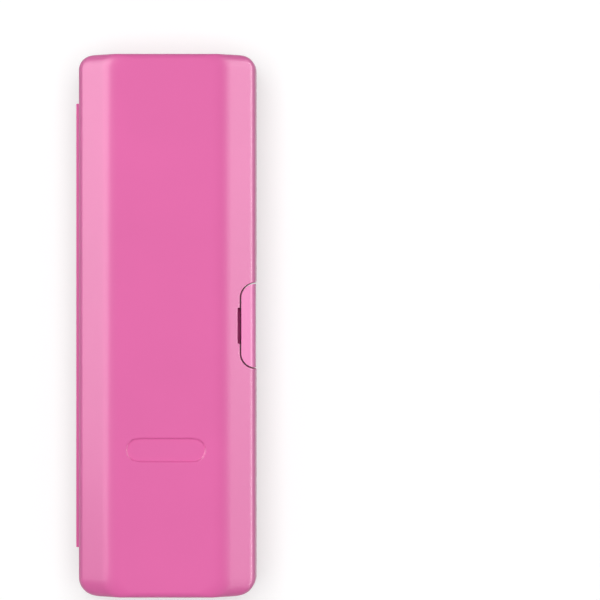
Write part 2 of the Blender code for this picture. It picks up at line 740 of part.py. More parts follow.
def build_handle_housing(look):
    under_grip = -GRIP_THICKNESS - FIT
    bush_end = BUSH_START + BUSH_LENGTH + FIT
    profile = handle_outline(CAP_THICKNESS + FIT, LOWER_LENGTH)
    profile += handle_outline(LOWER_LENGTH, SHOULDER_HEIGHT, under_grip)
    profile += handle_outline(SHOULDER_HEIGHT, NECK_HEIGHT)
    profile += [
        (SHAFT_BORE, NECK_HEIGHT),
        (SHAFT_BORE, bush_end),
        (BUSH_RADIUS + FIT, bush_end),
        (BUSH_RADIUS + FIT, BUSH_START),
        (BORE_RADIUS, BUSH_START),
        (BORE_RADIUS, CAP_THICKNESS + FIT),
    ]
    housing = turned("handle_housing", profile, HANDLE_FOOT, HANDLE_SIDES, look, closed=True)
    hole = stem_form("stem_hole", BUTTON_STEM_RADIUS + FIT, 0, CHEST_RADIUS)
    return smooth(cut(housing, hole))


def build_grip_sleeve(look):
    low, high = LOWER_LENGTH + FIT, SHOULDER_HEIGHT - FIT
    profile = handle_outline(low, high) + handle_outline(low, high, -GRIP_THICKNESS)[::-1]
    sleeve = turned("grip_sleeve", profile, HANDLE_FOOT, HANDLE_SIDES, look, closed=True)
    window = button_form("window", BEZEL_WIDTH + 2 * FIT, BEZEL_LENGTH + 2 * FIT, BEZEL_BASE)
    return smooth(cut(sleeve, window))


def build_button_bezel(look):
    bezel = button_form("button_bezel", BEZEL_WIDTH, BEZEL_LENGTH, BEZEL_BASE + FIT)
    bezel.data.materials.append(look)
    trim(bezel, handle_form("outside", BEZEL_PROUD, LOWER_LENGTH, SHOULDER_HEIGHT))
    hole = button_form("hole", BUTTON_WIDTH + 2 * FIT, BUTTON_LENGTH + 2 * FIT)
    core = handle_form("core", -GRIP_THICKNESS, LOWER_LENGTH, SHOULDER_HEIGHT)
    return smooth(cut(bezel, hole, core))


def build_power_button(look):
    button = button_form("power_button", BUTTON_WIDTH, BUTTON_LENGTH)
    button.data.materials.append(look)
    trim(button, handle_form("outside", BUTTON_PROUD, LOWER_LENGTH, SHOULDER_HEIGHT))
    lift = BUTTON_TRAVEL - GRIP_THICKNESS
    cut(button, handle_form("core", lift, LOWER_LENGTH, SHOULDER_HEIGHT))
    join(button, stem_form("stem", BUTTON_STEM_RADIUS, STEM_BOTTOM, CHEST_RADIUS))
    cut(button, lamp_form("lamp_seat", FIT, FIT))
    return place_origin(smooth(button), Vector((HANDLE_OFFSET, BUTTON_Y, HANDLE_Z)))


def lamp_form(name, side_gap, depth_gap):
    """A short bar across the button, down into its skin."""
    centre = (HANDLE_OFFSET, BUTTON_Y - LAMP_DROP)
    length, width = LAMP_LENGTH + 2 * side_gap, LAMP_WIDTH + 2 * side_gap
    outline = stadium(centre, length, width, LAMP_STEPS, upright=False)
    top = HANDLE_Z + CHEST_RADIUS + BUTTON_PROUD
    return prism(name, outline, top - LAMP_DEPTH - depth_gap, top + OVERRUN)


def build_charge_lamp(look):
    lamp = lamp_form("charge_lamp", 0, 0)
    lamp.data.materials.append(look)
    return trim(lamp, handle_form("outside", BUTTON_PROUD, LOWER_LENGTH, SHOULDER_HEIGHT))


def build_base_cap(look):
    """The foot of the handle, with the charger well and the seal's groove."""
    spigot_end = CAP_THICKNESS + SPIGOT_LENGTH
    groove = SEAL_CENTRE - SEAL_RADIUS - FIT
    middle = CAP_THICKNESS + SPIGOT_LENGTH / 2
    half_groove = SEAL_RADIUS + FIT
    well_outside = WELL_RADIUS + WELL_WALL
    profile = [(0, WELL_DEPTH), (WELL_RADIUS, WELL_DEPTH), (WELL_RADIUS, 0)]
    profile += handle_outline(0, CAP_THICKNESS)
    profile += [
        (SPIGOT_RADIUS, CAP_THICKNESS),
        (SPIGOT_RADIUS, middle - half_groove),
        (groove, middle - half_groove),
        (groove, middle + half_groove),
        (SPIGOT_RADIUS, middle + half_groove),
        (SPIGOT_RADIUS, spigot_end),
        (SPIGOT_RADIUS - SPIGOT_WALL, spigot_end),
        (SPIGOT_RADIUS - SPIGOT_WALL, CAP_THICKNESS),
        (well_outside, CAP_THICKNESS),
        (well_outside, WELL_DEPTH + WELL_WALL),
        (0, WELL_DEPTH + WELL_WALL),
    ]
    return smooth(turned("base_cap", profile, HANDLE_FOOT, HANDLE_SIDES, look))


def ring_piece(name, inner, outer, low, high, sides, look):
    """A plain ring about the handle's axis."""
    profile = [(outer, low), (outer, high), (inner, high), (inner, low)]
    return smooth(turned(name, profile, HANDLE_FOOT, sides, look, closed=True))


def build_foot_seal(look):
    middle = CAP_THICKNESS + SPIGOT_LENGTH / 2
    profile = circle((SEAL_CENTRE, middle), SEAL_RADIUS, SEAL_STEPS)
    return smooth(turned("foot_seal", profile, HANDLE_FOOT, HANDLE_SIDES, look, closed=True), SEAL_SMOOTH_ANGLE)


def build_charging_coil(look):
    inner = WELL_RADIUS + WELL_WALL + FIT
    low = CAP_THICKNESS + FIT
    return ring_piece(
        "charging_coil", inner, inner + COIL_BAND, low, low + COIL_LENGTH, CHASSIS_SIDES, look
    )


def build_chassis(look):
    """A trough with cross walls that hold the battery and the motor."""
    battery_rib = BATTERY_START + BATTERY_LENGTH / 2
    motor_rib = MOTOR_START + MOTOR_LENGTH / 2
    ribs = [
        (CHASSIS_START, WIRE_HOLE_RADIUS),
        (battery_rib, BATTERY_RADIUS + FIT),
        (MIDDLE_RIB, WIRE_HOLE_RADIUS),
        (motor_rib, MOTOR_RADIUS + FIT),
        (MOTOR_END + FIT, SHAFT_BORE),
        (CHASSIS_END - CHASSIS_RIB, SHAFT_BORE),
    ]
    inside = CHASSIS_RADIUS - CHASSIS_WALL
    comb = []
    for start, radius in ribs:
        stop = start + CHASSIS_RIB
        comb += [(inside, start), (radius, start), (radius, stop), (inside, stop)]
    profile = [(CHASSIS_RADIUS, CHASSIS_END), (CHASSIS_RADIUS, CHASSIS_START)] + comb[1:-1]
    chassis = turned("chassis", profile, HANDLE_FOOT, CHASSIS_SIDES, look, closed=True)
    reach = 2 * CHASSIS_RADIUS
    above = block(
        "above",
        (HANDLE_OFFSET - reach, FOOT_Y, HANDLE_Z + BOARD_BASE - FIT),
        (HANDLE_OFFSET + reach, FOOT_Y + CHASSIS_END + OVERRUN, HANDLE_Z + reach),
    )
    return smooth(cut(chassis, above))


def build_battery(look):
    nub_start = BATTERY_START + BATTERY_LENGTH
    nub_end = nub_start + BATTERY_NUB_LENGTH
    profile = [
        (0, BATTERY_START),
        (BATTERY_RADIUS, BATTERY_START),
        (BATTERY_RADIUS, nub_start),
        (BATTERY_NUB_RADIUS, nub_start),
        (BATTERY_NUB_RADIUS, nub_end),
        (0, nub_end),
    ]
    return smooth(turned("battery", profile, HANDLE_FOOT, CHASSIS_SIDES, look))


def build_contact(name, start, look):
    half = CONTACT_WIDTH / 2
    low = (HANDLE_OFFSET - half, FOOT_Y + start, HANDLE_Z - half)
    high = (HANDLE_OFFSET + half, FOOT_Y + start + CONTACT_THICKNESS, HANDLE_Z + half)
    return block(name, low, high, look)


def build_motor(look):
    """The can, hollow for the rotor and open at the shaft."""
    hollow = MOTOR_RADIUS - MOTOR_WALL
    back, front = MOTOR_START + MOTOR_END_WALL, MOTOR_END - MOTOR_END_WALL
    profile = [
        (0, MOTOR_START),
        (MOTOR_RADIUS, MOTOR_START),
        (MOTOR_RADIUS, MOTOR_END),
        (SHAFT_BORE, MOTOR_END),
        (SHAFT_BORE, front),
        (hollow, front),
        (hollow, back),
        (0, back),
    ]
    return smooth(turned("motor", profile, HANDLE_FOOT, CHASSIS_SIDES, look))


def build_drive_shaft(look):
    profile = [
        (0, ROTOR_START),
        (ROTOR_RADIUS, ROTOR_START),
        (ROTOR_RADIUS, ROTOR_END),
        (SHAFT_RADIUS, ROTOR_END),
        (SHAFT_RADIUS, SHAFT_END - SHAFT_TIP),
        (SHAFT_RADIUS - SHAFT_TIP, SHAFT_END),
        (0, SHAFT_END),
    ]
    shaft = turned("drive_shaft", profile, HANDLE_FOOT, SHAFT_SIDES, look)
    return place_origin(smooth(shaft), HANDLE_FOOT + Vector((0, NECK_HEIGHT, 0)))


def build_shaft_bush(look):
    stop = BUSH_START + BUSH_LENGTH
    return ring_piece("shaft_bush", SHAFT_BORE, BUSH_RADIUS, BUSH_START, stop, SHAFT_SIDES, look)


def build_shaft_nose(look):
    low = NECK_HEIGHT + FIT
    high = low + NOSE_LENGTH
    profile = [
        (NOSE_RADIUS, low),
        (NOSE_RADIUS, high - NOSE_EDGE),
        (NOSE_RADIUS - NOSE_EDGE, high),
        (SHAFT_BORE, high),
        (SHAFT_BORE, low),
    ]
    return smooth(turned("shaft_nose", profile, HANDLE_FOOT, SHAFT_SIDES, look, closed=True))


def build_circuit_board(look):
    """The board with its switch and two chips."""
    low = HANDLE_Z + BOARD_BASE
    top = low + BOARD_THICKNESS

    def on_board(name, centre, size, bottom, height):
        half = size / 2
        return block(
            name,
            (HANDLE_OFFSET - half, FOOT_Y + centre - half, bottom),
            (HANDLE_OFFSET + half, FOOT_Y + centre + half, bottom + height),
        )

    board = block(
        "circuit_board",
        (HANDLE_OFFSET - BOARD_WIDTH / 2, FOOT_Y + BOARD_START, low),
        (HANDLE_OFFSET + BOARD_WIDTH / 2, FOOT_Y + BOARD_END, top),
        look,
    )
    sunk = top - BOARD_THICKNESS / 2
    join(board, on_board("switch", BUTTON_HEIGHT, SWITCH_SIZE, sunk, SWITCH_TOP + HANDLE_Z - sunk))
    for drop in CHIP_DROPS:
        centre = BUTTON_HEIGHT - drop
        join(board, on_board("chip", centre, CHIP_SIZE, sunk, CHIP_HEIGHT + BOARD_THICKNESS / 2))
    return board


# Cradle for the handle

def rib_along(name, path, thickness, low, high):
    """An upright rib of even thickness along a plan path."""
    half = thickness / 2
    points = [Vector(p) for p in path]
    left, right = [], []
    for i, point in enumerate(points):
        before = (point - points[i - 1]).normalized() if i else None
        after = (points[i + 1] - point).normalized() if i + 1 < len(points) else None
        heading = ((before or after) + (after or before)).normalized()
        side = Vector((-heading.y, heading.x))
        reach = half / max(side.dot(Vector((-(after or before).y, (after or before).x))), 0.5)
        left.append(tuple(point + side * reach))
        right.append(tuple(point - side * reach))
    return prism(name, left + right[::-1], low, high)


def build_handle_cradle(look):
    """Ribs on a thin plate: a funnel at the neck, side ribs, saddles and an oval ring."""
    side = CHEST_RADIUS + CRADLE_SIDE_GAP
    low = PLATE_BOTTOM
    long_end, short_end = LOWER_LENGTH + CRADLE_LONG_RISE, BUTTON_HEIGHT + CRADLE_SHORT_RISE
    bend = SHOULDER_HEIGHT + CRADLE_BEND_RISE
    neck_start, neck_end = NECK_FOOT_HEIGHT + CRADLE_NECK_RISE, NECK_HEIGHT + CRADLE_NECK_REACH
    first, last = LOWER_LENGTH + SADDLE_RISE, SHOULDER_HEIGHT - SADDLE_DROP

    def at(offset, height):
        return (HANDLE_OFFSET + offset, FOOT_Y + height)

    def plan(offsets):
        return [at(offset, height) for offset, height in offsets]

    cradle = prism(
        "handle_cradle",
        plan([
            (-side, long_end),
            (side, long_end),
            (side, bend),
            (CRADLE_NECK_HALF, neck_start),
            (CRADLE_NECK_HALF, neck_end),
            (-CRADLE_NECK_HALF, neck_end),
            (-CRADLE_NECK_HALF, neck_start),
            (-side, bend),
        ]),
        low,
        PLATE_TOP,
        look,
    )
    for way, end in ((-1, short_end), (1, long_end)):
        path = plan([
            (way * CRADLE_NECK_HALF, neck_end),
            (way * CRADLE_NECK_HALF, neck_start),
            (way * side, bend),
            (way * side, end),
        ])
        join(cradle, rib_along("side_rib", path, CRADLE_RIB, low, CRADLE_TOP))
    for height in (first, (first + last) / 2, last):
        ends = plan([(-side, height), (side, height)])
        join(cradle, rib_along("saddle", ends, CRADLE_RIB, low, CRADLE_TOP))
    tail_start = RING_HEIGHT + RING_WIDTH / 2 - CRADLE_RIB / 2
    tail = plan([(0, tail_start), (0, long_end + OVERRUN)])
    join(cradle, rib_along("tail", tail, RING_WIDTH, low, PLATE_TOP))
    centre = at(0, RING_HEIGHT)
    outline = stadium(centre, RING_LENGTH, RING_WIDTH, RING_STEPS, upright=False)
    ring = prism("ring", outline, low, RING_TOP)
    narrow = RING_WIDTH - 2 * CRADLE_RIB
    outline = stadium(centre, RING_LENGTH - 2 * CRADLE_RIB, narrow, RING_STEPS, upright=False)
    cut(ring, prism("ring_hole", outline, -OVERRUN, CASE_DEPTH))
    join(cradle, ring)
    room = cavity("clear_room", HALF_DEPTH, -1, CASE_WALL + FIT, [])
    trim(cradle, room)
    return smooth(cut(cradle, handle_form("handle_room", FIT, 0, NECK_HEIGHT)))


# Brush heads

def head_stations():
    """(distance from the foot, radius) of the head's turned stem."""
    start = HEAD_RING_LENGTH + FIT
    points = [(start, HEAD_FOOT_RADIUS)]
    points += ease(points[-1], (HEAD_BODY_HEIGHT, HEAD_BODY_RADIUS), HEAD_STEPS)
    points += ease(points[-1], (HEAD_NECK_HEIGHT, HEAD_NECK_RADIUS), HEAD_STEPS)
    return points + [(CUP_HEIGHT, HEAD_NECK_RADIUS)]


def head_foot(foot_y):
    return Vector((HEAD_X, foot_y, HEAD_Z))


def build_head_body(name, foot_y, look):
    """Stem with its bore, and the cup that the disc turns in."""
    start = HEAD_RING_LENGTH + FIT
    profile = [(0, HEAD_BORE_DEPTH), (HEAD_BORE_RADIUS, HEAD_BORE_DEPTH)]
    profile += [
        (HEAD_BORE_RADIUS, HEAD_SOCKET_DEPTH),
        (HEAD_SOCKET_RADIUS, HEAD_SOCKET_DEPTH),
        (HEAD_SOCKET_RADIUS, start),
    ]
    profile += [(radius, along) for along, radius in head_stations()] + [(0, CUP_HEIGHT)]
    body = turned(name, profile, head_foot(foot_y), HEAD_SIDES, look)
    middle = (HEAD_X, foot_y + CUP_HEIGHT)

    def level(radius, height):
        return [Vector((x, y, HEAD_Z + height)) for x, y in circle(middle, radius, CUP_SIDES)]

    cup = loft("cup", [
        level(CUP_RADIUS, -CUP_FRONT),
        level(CUP_RADIUS, CUP_BACK - CUP_EDGE),
        level(CUP_RADIUS - CUP_EDGE, CUP_BACK),
    ])
    join(body, cup)
    front = HEAD_Z - HEAD_FOOT_RADIUS
    pocket_top = HEAD_Z + DISC_BACK + FIT
    pocket = prism("pocket", circle(middle, DISC_RADIUS + FIT, CUP_SIDES), front, pocket_top)
    pin_top = pocket_top + DISC_PIN_LENGTH
    pin_outline = circle(middle, DISC_PIN_RADIUS + FIT, HEAD_SIDES)
    pin_hole = prism("pin_hole", pin_outline, front, pin_top)
    return smooth(cut(body, pocket, pin_hole))


def build_head_ring(name, foot_y, look):
    inner, outer = HEAD_SOCKET_RADIUS, HEAD_FOOT_RADIUS
    profile = [(outer, 0), (outer, HEAD_RING_LENGTH), (inner, HEAD_RING_LENGTH), (inner, 0)]
    return smooth(turned(name, profile, head_foot(foot_y), HEAD_SIDES, look, closed=True))


def build_head_disc(name, foot_y, look):
    """The turning disc, with a short pin at its back."""
    middle = (HEAD_X, foot_y + CUP_HEIGHT)
    outline = circle(middle, DISC_RADIUS, CUP_SIDES)
    disc = prism(name, outline, HEAD_Z + DISC_FRONT, HEAD_Z + DISC_BACK, look)
    pin_outline = circle(middle, DISC_PIN_RADIUS, HEAD_SIDES)
    pin_end = HEAD_Z + DISC_BACK + DISC_PIN_LENGTH
    join(disc, prism("pin", pin_outline, HEAD_Z + DISC_FRONT / 2, pin_end))
    return place_origin(smooth(disc), Vector((*middle, HEAD_Z)))


def build_bristles(name, foot_y, look):
    """Three-sided strands on a round slice, one to each cell of a lattice of triangles."""
    rows = BRISTLE_ROWS
    middle = Vector((HEAD_X, foot_y + CUP_HEIGHT, 0))
    back, foot = HEAD_Z + SLICE_BACK, HEAD_Z + BRISTLE_FOOT
    points, faces, index = [], [], {}

    def spot(i, j):
        """Lattice place i, j, pushed out so that the six-sided field becomes round."""
        flat = Vector((i + j / 2, j * math.sqrt(3) / 2, 0))
        steps = max(abs(i), abs(j), abs(i + j))
        scale = BRISTLE_FIELD_RADIUS * steps / rows
        return middle + (flat.normalized() * scale if steps else flat)

    def add(point):
        points.append(point)
        return len(points) - 1

    def lattice(i, j):
        if (i, j) not in index:
            index[i, j] = add(spot(i, j) + Vector((0, 0, foot)))
        return index[i, j]

    def inside(i, j):
        return max(abs(i), abs(j), abs(i + j)) <= rows

    for i in range(-rows, rows + 1):
        for j in range(-rows, rows + 1):
            for cell in (((i, j), (i + 1, j), (i, j + 1)), ((i + 1, j), (i + 1, j + 1), (i, j + 1))):
                if not all(inside(*corner) for corner in cell):
                    continue
                outer = [lattice(*corner) for corner in cell]
                centre = sum((points[k] for k in outer), Vector()) / len(outer)
                away = (centre - middle).to_2d().length / BRISTLE_FIELD_RADIUS
                drop = Vector((0, 0, BRISTLE_LENGTH - BRISTLE_DISH * (1 - away)))
                low = [add(centre.lerp(points[k], BRISTLE_SHARE)) for k in outer]
                high = [add(points[k] - drop) for k in low]
                for k in range(len(outer)):
                    n = (k + 1) % len(outer)
                    faces.append((outer[k], outer[n], low[n], low[k]))
                    faces.append((low[k], low[n], high[n], high[k]))
                faces.append(tuple(high))
    rim = [place for place in index if max(abs(place[0]), abs(place[1]), abs(sum(place))) == rows]
    rim.sort(key=lambda place: math.atan2(*(spot(*place) - middle).to_2d().yx))
    edge = [add(spot(*place) + Vector((0, 0, back))) for place in rim]
    for k in range(len(rim)):
        n = (k + 1) % len(rim)
        faces.append((index[rim[k]], index[rim[n]], edge[n], edge[k]))
    faces.append(tuple(edge))
    return solid(name, points, faces, look)


# Cradles for the heads

def head_outline(foot_y, grow):
    """The head's outline from the front, larger all round by grow."""
    radius = CUP_RADIUS + grow
    neck = HEAD_NECK_RADIUS + grow
    join_angle = math.degrees(math.acos(neck / radius))
    right = [(HEAD_FOOT_RADIUS + grow, -grow)]
    right += [(r + grow, h) for h, r in head_stations()[:-1]]
    round_top = arc((0, CUP_HEIGHT), radius, -join_angle, 180 + join_angle, CUP_TOP_STEPS)
    left = [(-r, h) for r, h in right[::-1]]
    return [(HEAD_X + x, foot_y + y) for x, y in right + round_top + left]


def build_head_cradle(look):
    """Two pockets of thin ribs on one plate under the lid's face."""
    low, top = HEAD_Z + HEAD_RIB_RISE, HEAD_PLATE_BOTTOM + CRADLE_PLATE / 2
    back = HEAD_X - HEAD_FOOT_RADIUS - HEAD_PLATE_BACK
    cradle = block(
        "head_cradle",
        (back, LOWER_HEAD_Y, HEAD_PLATE_BOTTOM),
        (HEAD_X + HEAD_PLATE_HALF, UPPER_HEAD_Y + HEAD_LENGTH, HEAD_PLATE_TOP),
        look,
    )
    for foot_y in (UPPER_HEAD_Y, LOWER_HEAD_Y):
        pocket = prism("pocket", head_outline(foot_y, HEAD_CLEARANCE + HEAD_RIB), low, top)
        cut(pocket, prism("room", head_outline(foot_y, HEAD_CLEARANCE), 0, CASE_DEPTH))
        join(cradle, pocket)
        for height in HEAD_SADDLES:
            saddle = block(
                "saddle",
                (HEAD_X - HEAD_SADDLE_HALF, foot_y + height - HEAD_RIB / 2, low),
                (HEAD_X + HEAD_SADDLE_HALF, foot_y + height + HEAD_RIB / 2, top),
            )
            profile = [(0, 0)] + [(r + FIT, h) for h, r in head_stations()] + [(0, CUP_HEIGHT)]
            cut(saddle, turned("stem_room", profile, head_foot(foot_y), HEAD_SIDES))
            join(cradle, saddle)
        boss = circle((HEAD_X, foot_y + CUP_HEIGHT), HEAD_BOSS_RADIUS, HEAD_SIDES)
        join(cradle, prism("boss", boss, HEAD_Z + CUP_BACK + FIT, top))
    return smooth(trim(cradle, cavity("clear_room", LID_RIM, 1, CASE_WALL + FIT, [])))


# Materials

def case_plastic():
    return material("case_plastic", (0.80, 0.14, 0.42), 0.42)


def lid_plastic():
    return material("lid_plastic", (0.84, 0.20, 0.50), 0.42)


def clasp_plastic():
    return material("clasp_plastic", (0.86, 0.32, 0.62), 0.4)


def spine_plastic():
    return material("spine_plastic", (0.86, 0.38, 0.62), 0.45)


def cradle_plastic():
    return material("cradle_plastic", (0.62, 0.02, 0.18), 0.45)


def white_plastic():
    return material("white_plastic", (0.86, 0.86, 0.86), 0.3)


def black_rubber():
    return material("black_rubber", (0.02, 0.02, 0.022), 0.6)


def button_rubber():
    return material("button_rubber", (0.03, 0.03, 0.033), 0.55)


def seal_rubber():
    return material("seal_rubber", (0.1, 0.1, 0.11), 0.7)


def lamp_plastic():
    return material("lamp_plastic", (0.35, 0.4, 0.36), 0.2)


def steel():
    return material("steel", (0.55, 0.55, 0.56), 0.3, 1.0)


def brass():
    return material("brass", (0.6, 0.45, 0.2), 0.35, 1.0)


def copper():
    return material("copper", (0.6, 0.25, 0.1), 0.4, 1.0)


def chassis_plastic():
    return material("chassis_plastic", (0.25, 0.27, 0.3), 0.5)


def battery_sleeve():
    return material("battery_sleeve", (0.1, 0.3, 0.15), 0.4)


def board_green():
    return material("board_green", (0.03, 0.2, 0.08), 0.5)


def head_plastic():
    return material("head_plastic", (0.9, 0.9, 0.9), 0.3)


def orange_plastic():
    return material("orange_plastic", (0.85, 0.18, 0.05), 0.35)


def blue_plastic():
    return material("blue_plastic", (0.32, 0.36, 0.75), 0.35)


def nylon():
    return material("nylon", (0.1, 0.55, 0.55), 0.5)


def build():
    for existing in list(bpy.data.objects):
        bpy.data.objects.remove(existing)
    build_base_shell(case_plastic())
    build_lid_shell(lid_plastic())
    build_spine_strip(spine_plastic())
    build_clasp(clasp_plastic())
    build_handle_cradle(cradle_plastic())
    build_head_cradle(cradle_plastic())
    white, metal = white_plastic(), steel()
    build_handle_housing(white)
    build_grip_sleeve(black_rubber())
    build_button_bezel(white)
    build_power_button(button_rubber())
    build_charge_lamp(lamp_plastic())
    build_base_cap(white)
    build_foot_seal(seal_rubber())
    build_charging_coil(copper())
    build_chassis(chassis_plastic())
    build_battery(battery_sleeve())
    contact_metal = brass()
    build_contact("contact_low", CONTACT_START, contact_metal)
    build_contact("contact_high", CONTACT_END, contact_metal)
    build_motor(metal)
    build_drive_shaft(metal)
    build_shaft_bush(contact_metal)
    build_shaft_nose(metal)
    build_circuit_board(board_green())
    shell, strands = head_plastic(), nylon()
    for place, foot_y, accent in (
        ("upper", UPPER_HEAD_Y, orange_plastic()),
        ("lower", LOWER_HEAD_Y, blue_plastic()),
    ):
        build_head_body(place + "_head_body", foot_y, shell)
        build_head_ring(place + "_head_ring", foot_y, accent)
        build_head_disc(place + "_head_disc", foot_y, shell)
        build_bristles(place + "_bristles", foot_y, strands)


build()
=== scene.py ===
import math

import bpy
import numpy as np
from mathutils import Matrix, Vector


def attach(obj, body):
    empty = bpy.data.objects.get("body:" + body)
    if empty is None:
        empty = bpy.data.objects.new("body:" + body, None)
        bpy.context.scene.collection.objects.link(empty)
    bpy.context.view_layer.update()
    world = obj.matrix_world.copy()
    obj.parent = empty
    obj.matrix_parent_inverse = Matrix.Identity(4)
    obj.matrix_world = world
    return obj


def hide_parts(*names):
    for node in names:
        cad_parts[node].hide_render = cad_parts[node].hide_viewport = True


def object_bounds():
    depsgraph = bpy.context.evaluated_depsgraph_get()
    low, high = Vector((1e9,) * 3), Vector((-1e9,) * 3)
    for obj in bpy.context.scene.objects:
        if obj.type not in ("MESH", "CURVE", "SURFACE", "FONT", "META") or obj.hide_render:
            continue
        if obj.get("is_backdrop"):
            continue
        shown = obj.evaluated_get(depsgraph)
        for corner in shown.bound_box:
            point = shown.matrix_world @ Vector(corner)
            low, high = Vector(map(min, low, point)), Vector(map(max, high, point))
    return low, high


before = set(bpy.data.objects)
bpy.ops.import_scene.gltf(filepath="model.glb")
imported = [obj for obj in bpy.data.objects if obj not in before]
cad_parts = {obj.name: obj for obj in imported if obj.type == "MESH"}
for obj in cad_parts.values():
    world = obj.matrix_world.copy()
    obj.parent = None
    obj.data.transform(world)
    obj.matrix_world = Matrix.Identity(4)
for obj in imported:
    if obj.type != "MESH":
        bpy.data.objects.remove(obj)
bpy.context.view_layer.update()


# Base shell
# The back half of the case: one injection-moulded tray of deep pink plastic, 1.8 mm thick, with
# sloping shoulders, a tongue round its rim and an upright notch in its right side. Its deep pink is
# partly the plastic's own and partly painted shade, darker to stand in for the shade inside the base.

MM = 0.001
HALF_WIDTH, HALF_LENGTH, HALF_DEPTH, CASE_WALL = 34.0, 103.0, 19.0, 1.8
TOP_CORNER, FOOT_CORNER = 5.5, 7.0
SIDE_TOP, SIDE_FOOT = HALF_LENGTH - TOP_CORNER, HALF_LENGTH - FOOT_CORNER
EDGE_RADIUS, FACET_LENGTH, CROWN_RADIUS, SIDE_DRAFT = 4.5, 8.5, 14.0, 0.3
FACET_ANGLE = math.radians(34)
END_RADIUS, INNER_RADIUS = 2.4, 0.6
NOTCH_X, NOTCH_RADIUS, BEND_Y, MOUTH_RADIUS = 27.9, 6.0, 10.5, 0.8
BEND_X, MOUTH_X = NOTCH_X + NOTCH_RADIUS, HALF_WIDTH - MOUTH_RADIUS
BEND_LEAN = math.acos((BEND_X - MOUTH_X) / (NOTCH_RADIUS + MOUTH_RADIUS))
MOUTH_Y = BEND_Y + (NOTCH_RADIUS + MOUTH_RADIUS) * math.sin(BEND_LEAN)
NOTCH_BACK = np.array([0, 2, 4, 5.6, 6.5, 6.65, 6.72, 6.8, 6.88, 6.95, 7.1, 8.2, 9.4])
NOTCH_FADE, SLIDE_SPAN, BEYOND_SPREAD = 12.0, 45.0, 1.4
SIDE_STEPS, SLOPE_STEPS, CORNER_STEPS, END_STEPS, LEFT_STEPS = 160, 44, 26, 42, 72
BEND_STEPS, MOUTH_STEPS, BEYOND_STEPS = 20, 8, 36
EDGE_EASE, RIM_FILLET, SHARP_END = 0.45, 0.2, 0.04
BASE_RIM, TONGUE_LEFT, TONGUE_CLEAR, TONGUE_FADE = 19.0, -25.0, 19.5, 0.4
FACE_CENTRE = np.array([0.0, -47.0])
UPRIGHT_SHARES, INWARDS = np.array([0, 0.3, 0.6, 0.9]), np.array([0.97, 0.8, 0.6, 0.4, 0.2, 0])
QUARTER = np.linspace(0, math.pi / 2, 6)
ARC_UP, ARC_DOWN = 1 - np.cos(QUARTER), 1 - np.sin(QUARTER)
CLOUD_SIZE, GRAIN_DEPTH, ROUGH_SPREAD, COAT_ROUGHNESS = 40.0, 0.02, 0.06, 0.12


def smooth_step(value):
    """0 below 0, 1 above 1, and between them three squares less two cubes."""
    value = np.clip(value, 0, 1)
    return value * value * (3 - 2 * value)


def side_line(depth):
    """(walk, inset, drop) of the case's side from its flat face to its rim: a crown arc, a straight
    facet, an edge arc and a nearly upright wall, all moved inwards by depth along their normals."""
    turn = np.linspace(0, 1, SIDE_STEPS)
    crown, edge = turn * FACET_ANGLE, FACET_ANGLE + turn * (math.pi / 2 - FACET_ANGLE)
    lean_sin, lean_cos = math.sin(FACET_ANGLE), math.cos(FACET_ANGLE)
    facet_reach = CROWN_RADIUS * lean_sin + FACET_LENGTH * lean_cos
    facet_drop = CROWN_RADIUS * (1 - lean_cos) + FACET_LENGTH * lean_sin
    edge_reach = facet_reach + EDGE_RADIUS * (np.sin(edge) - lean_sin)
    edge_drop = facet_drop + EDGE_RADIUS * (lean_cos - np.cos(edge))
    reach = np.concatenate([CROWN_RADIUS * np.sin(crown), edge_reach, edge_reach[-1:] + SIDE_DRAFT])
    drop = np.concatenate([CROWN_RADIUS * (1 - np.cos(crown)), edge_drop, [HALF_DEPTH]])
    heading = np.concatenate([crown, edge, [math.pi / 2]])
    inset = reach[-1] - reach + depth * np.sin(heading)
    drop = drop + depth * np.cos(heading)
    walk = np.append(0, np.cumsum(np.hypot(np.diff(inset), np.diff(drop))))
    return walk, inset, drop


def end_inset(rise, depth):
    """How far an end wall stands in at a rise above the rim: a quarter circle next to the face."""
    radius = max(END_RADIUS - depth, INNER_RADIUS)
    over = np.clip(rise - (HALF_DEPTH - depth - radius), 0, radius)
    return depth + radius - np.sqrt(radius ** 2 - over ** 2)


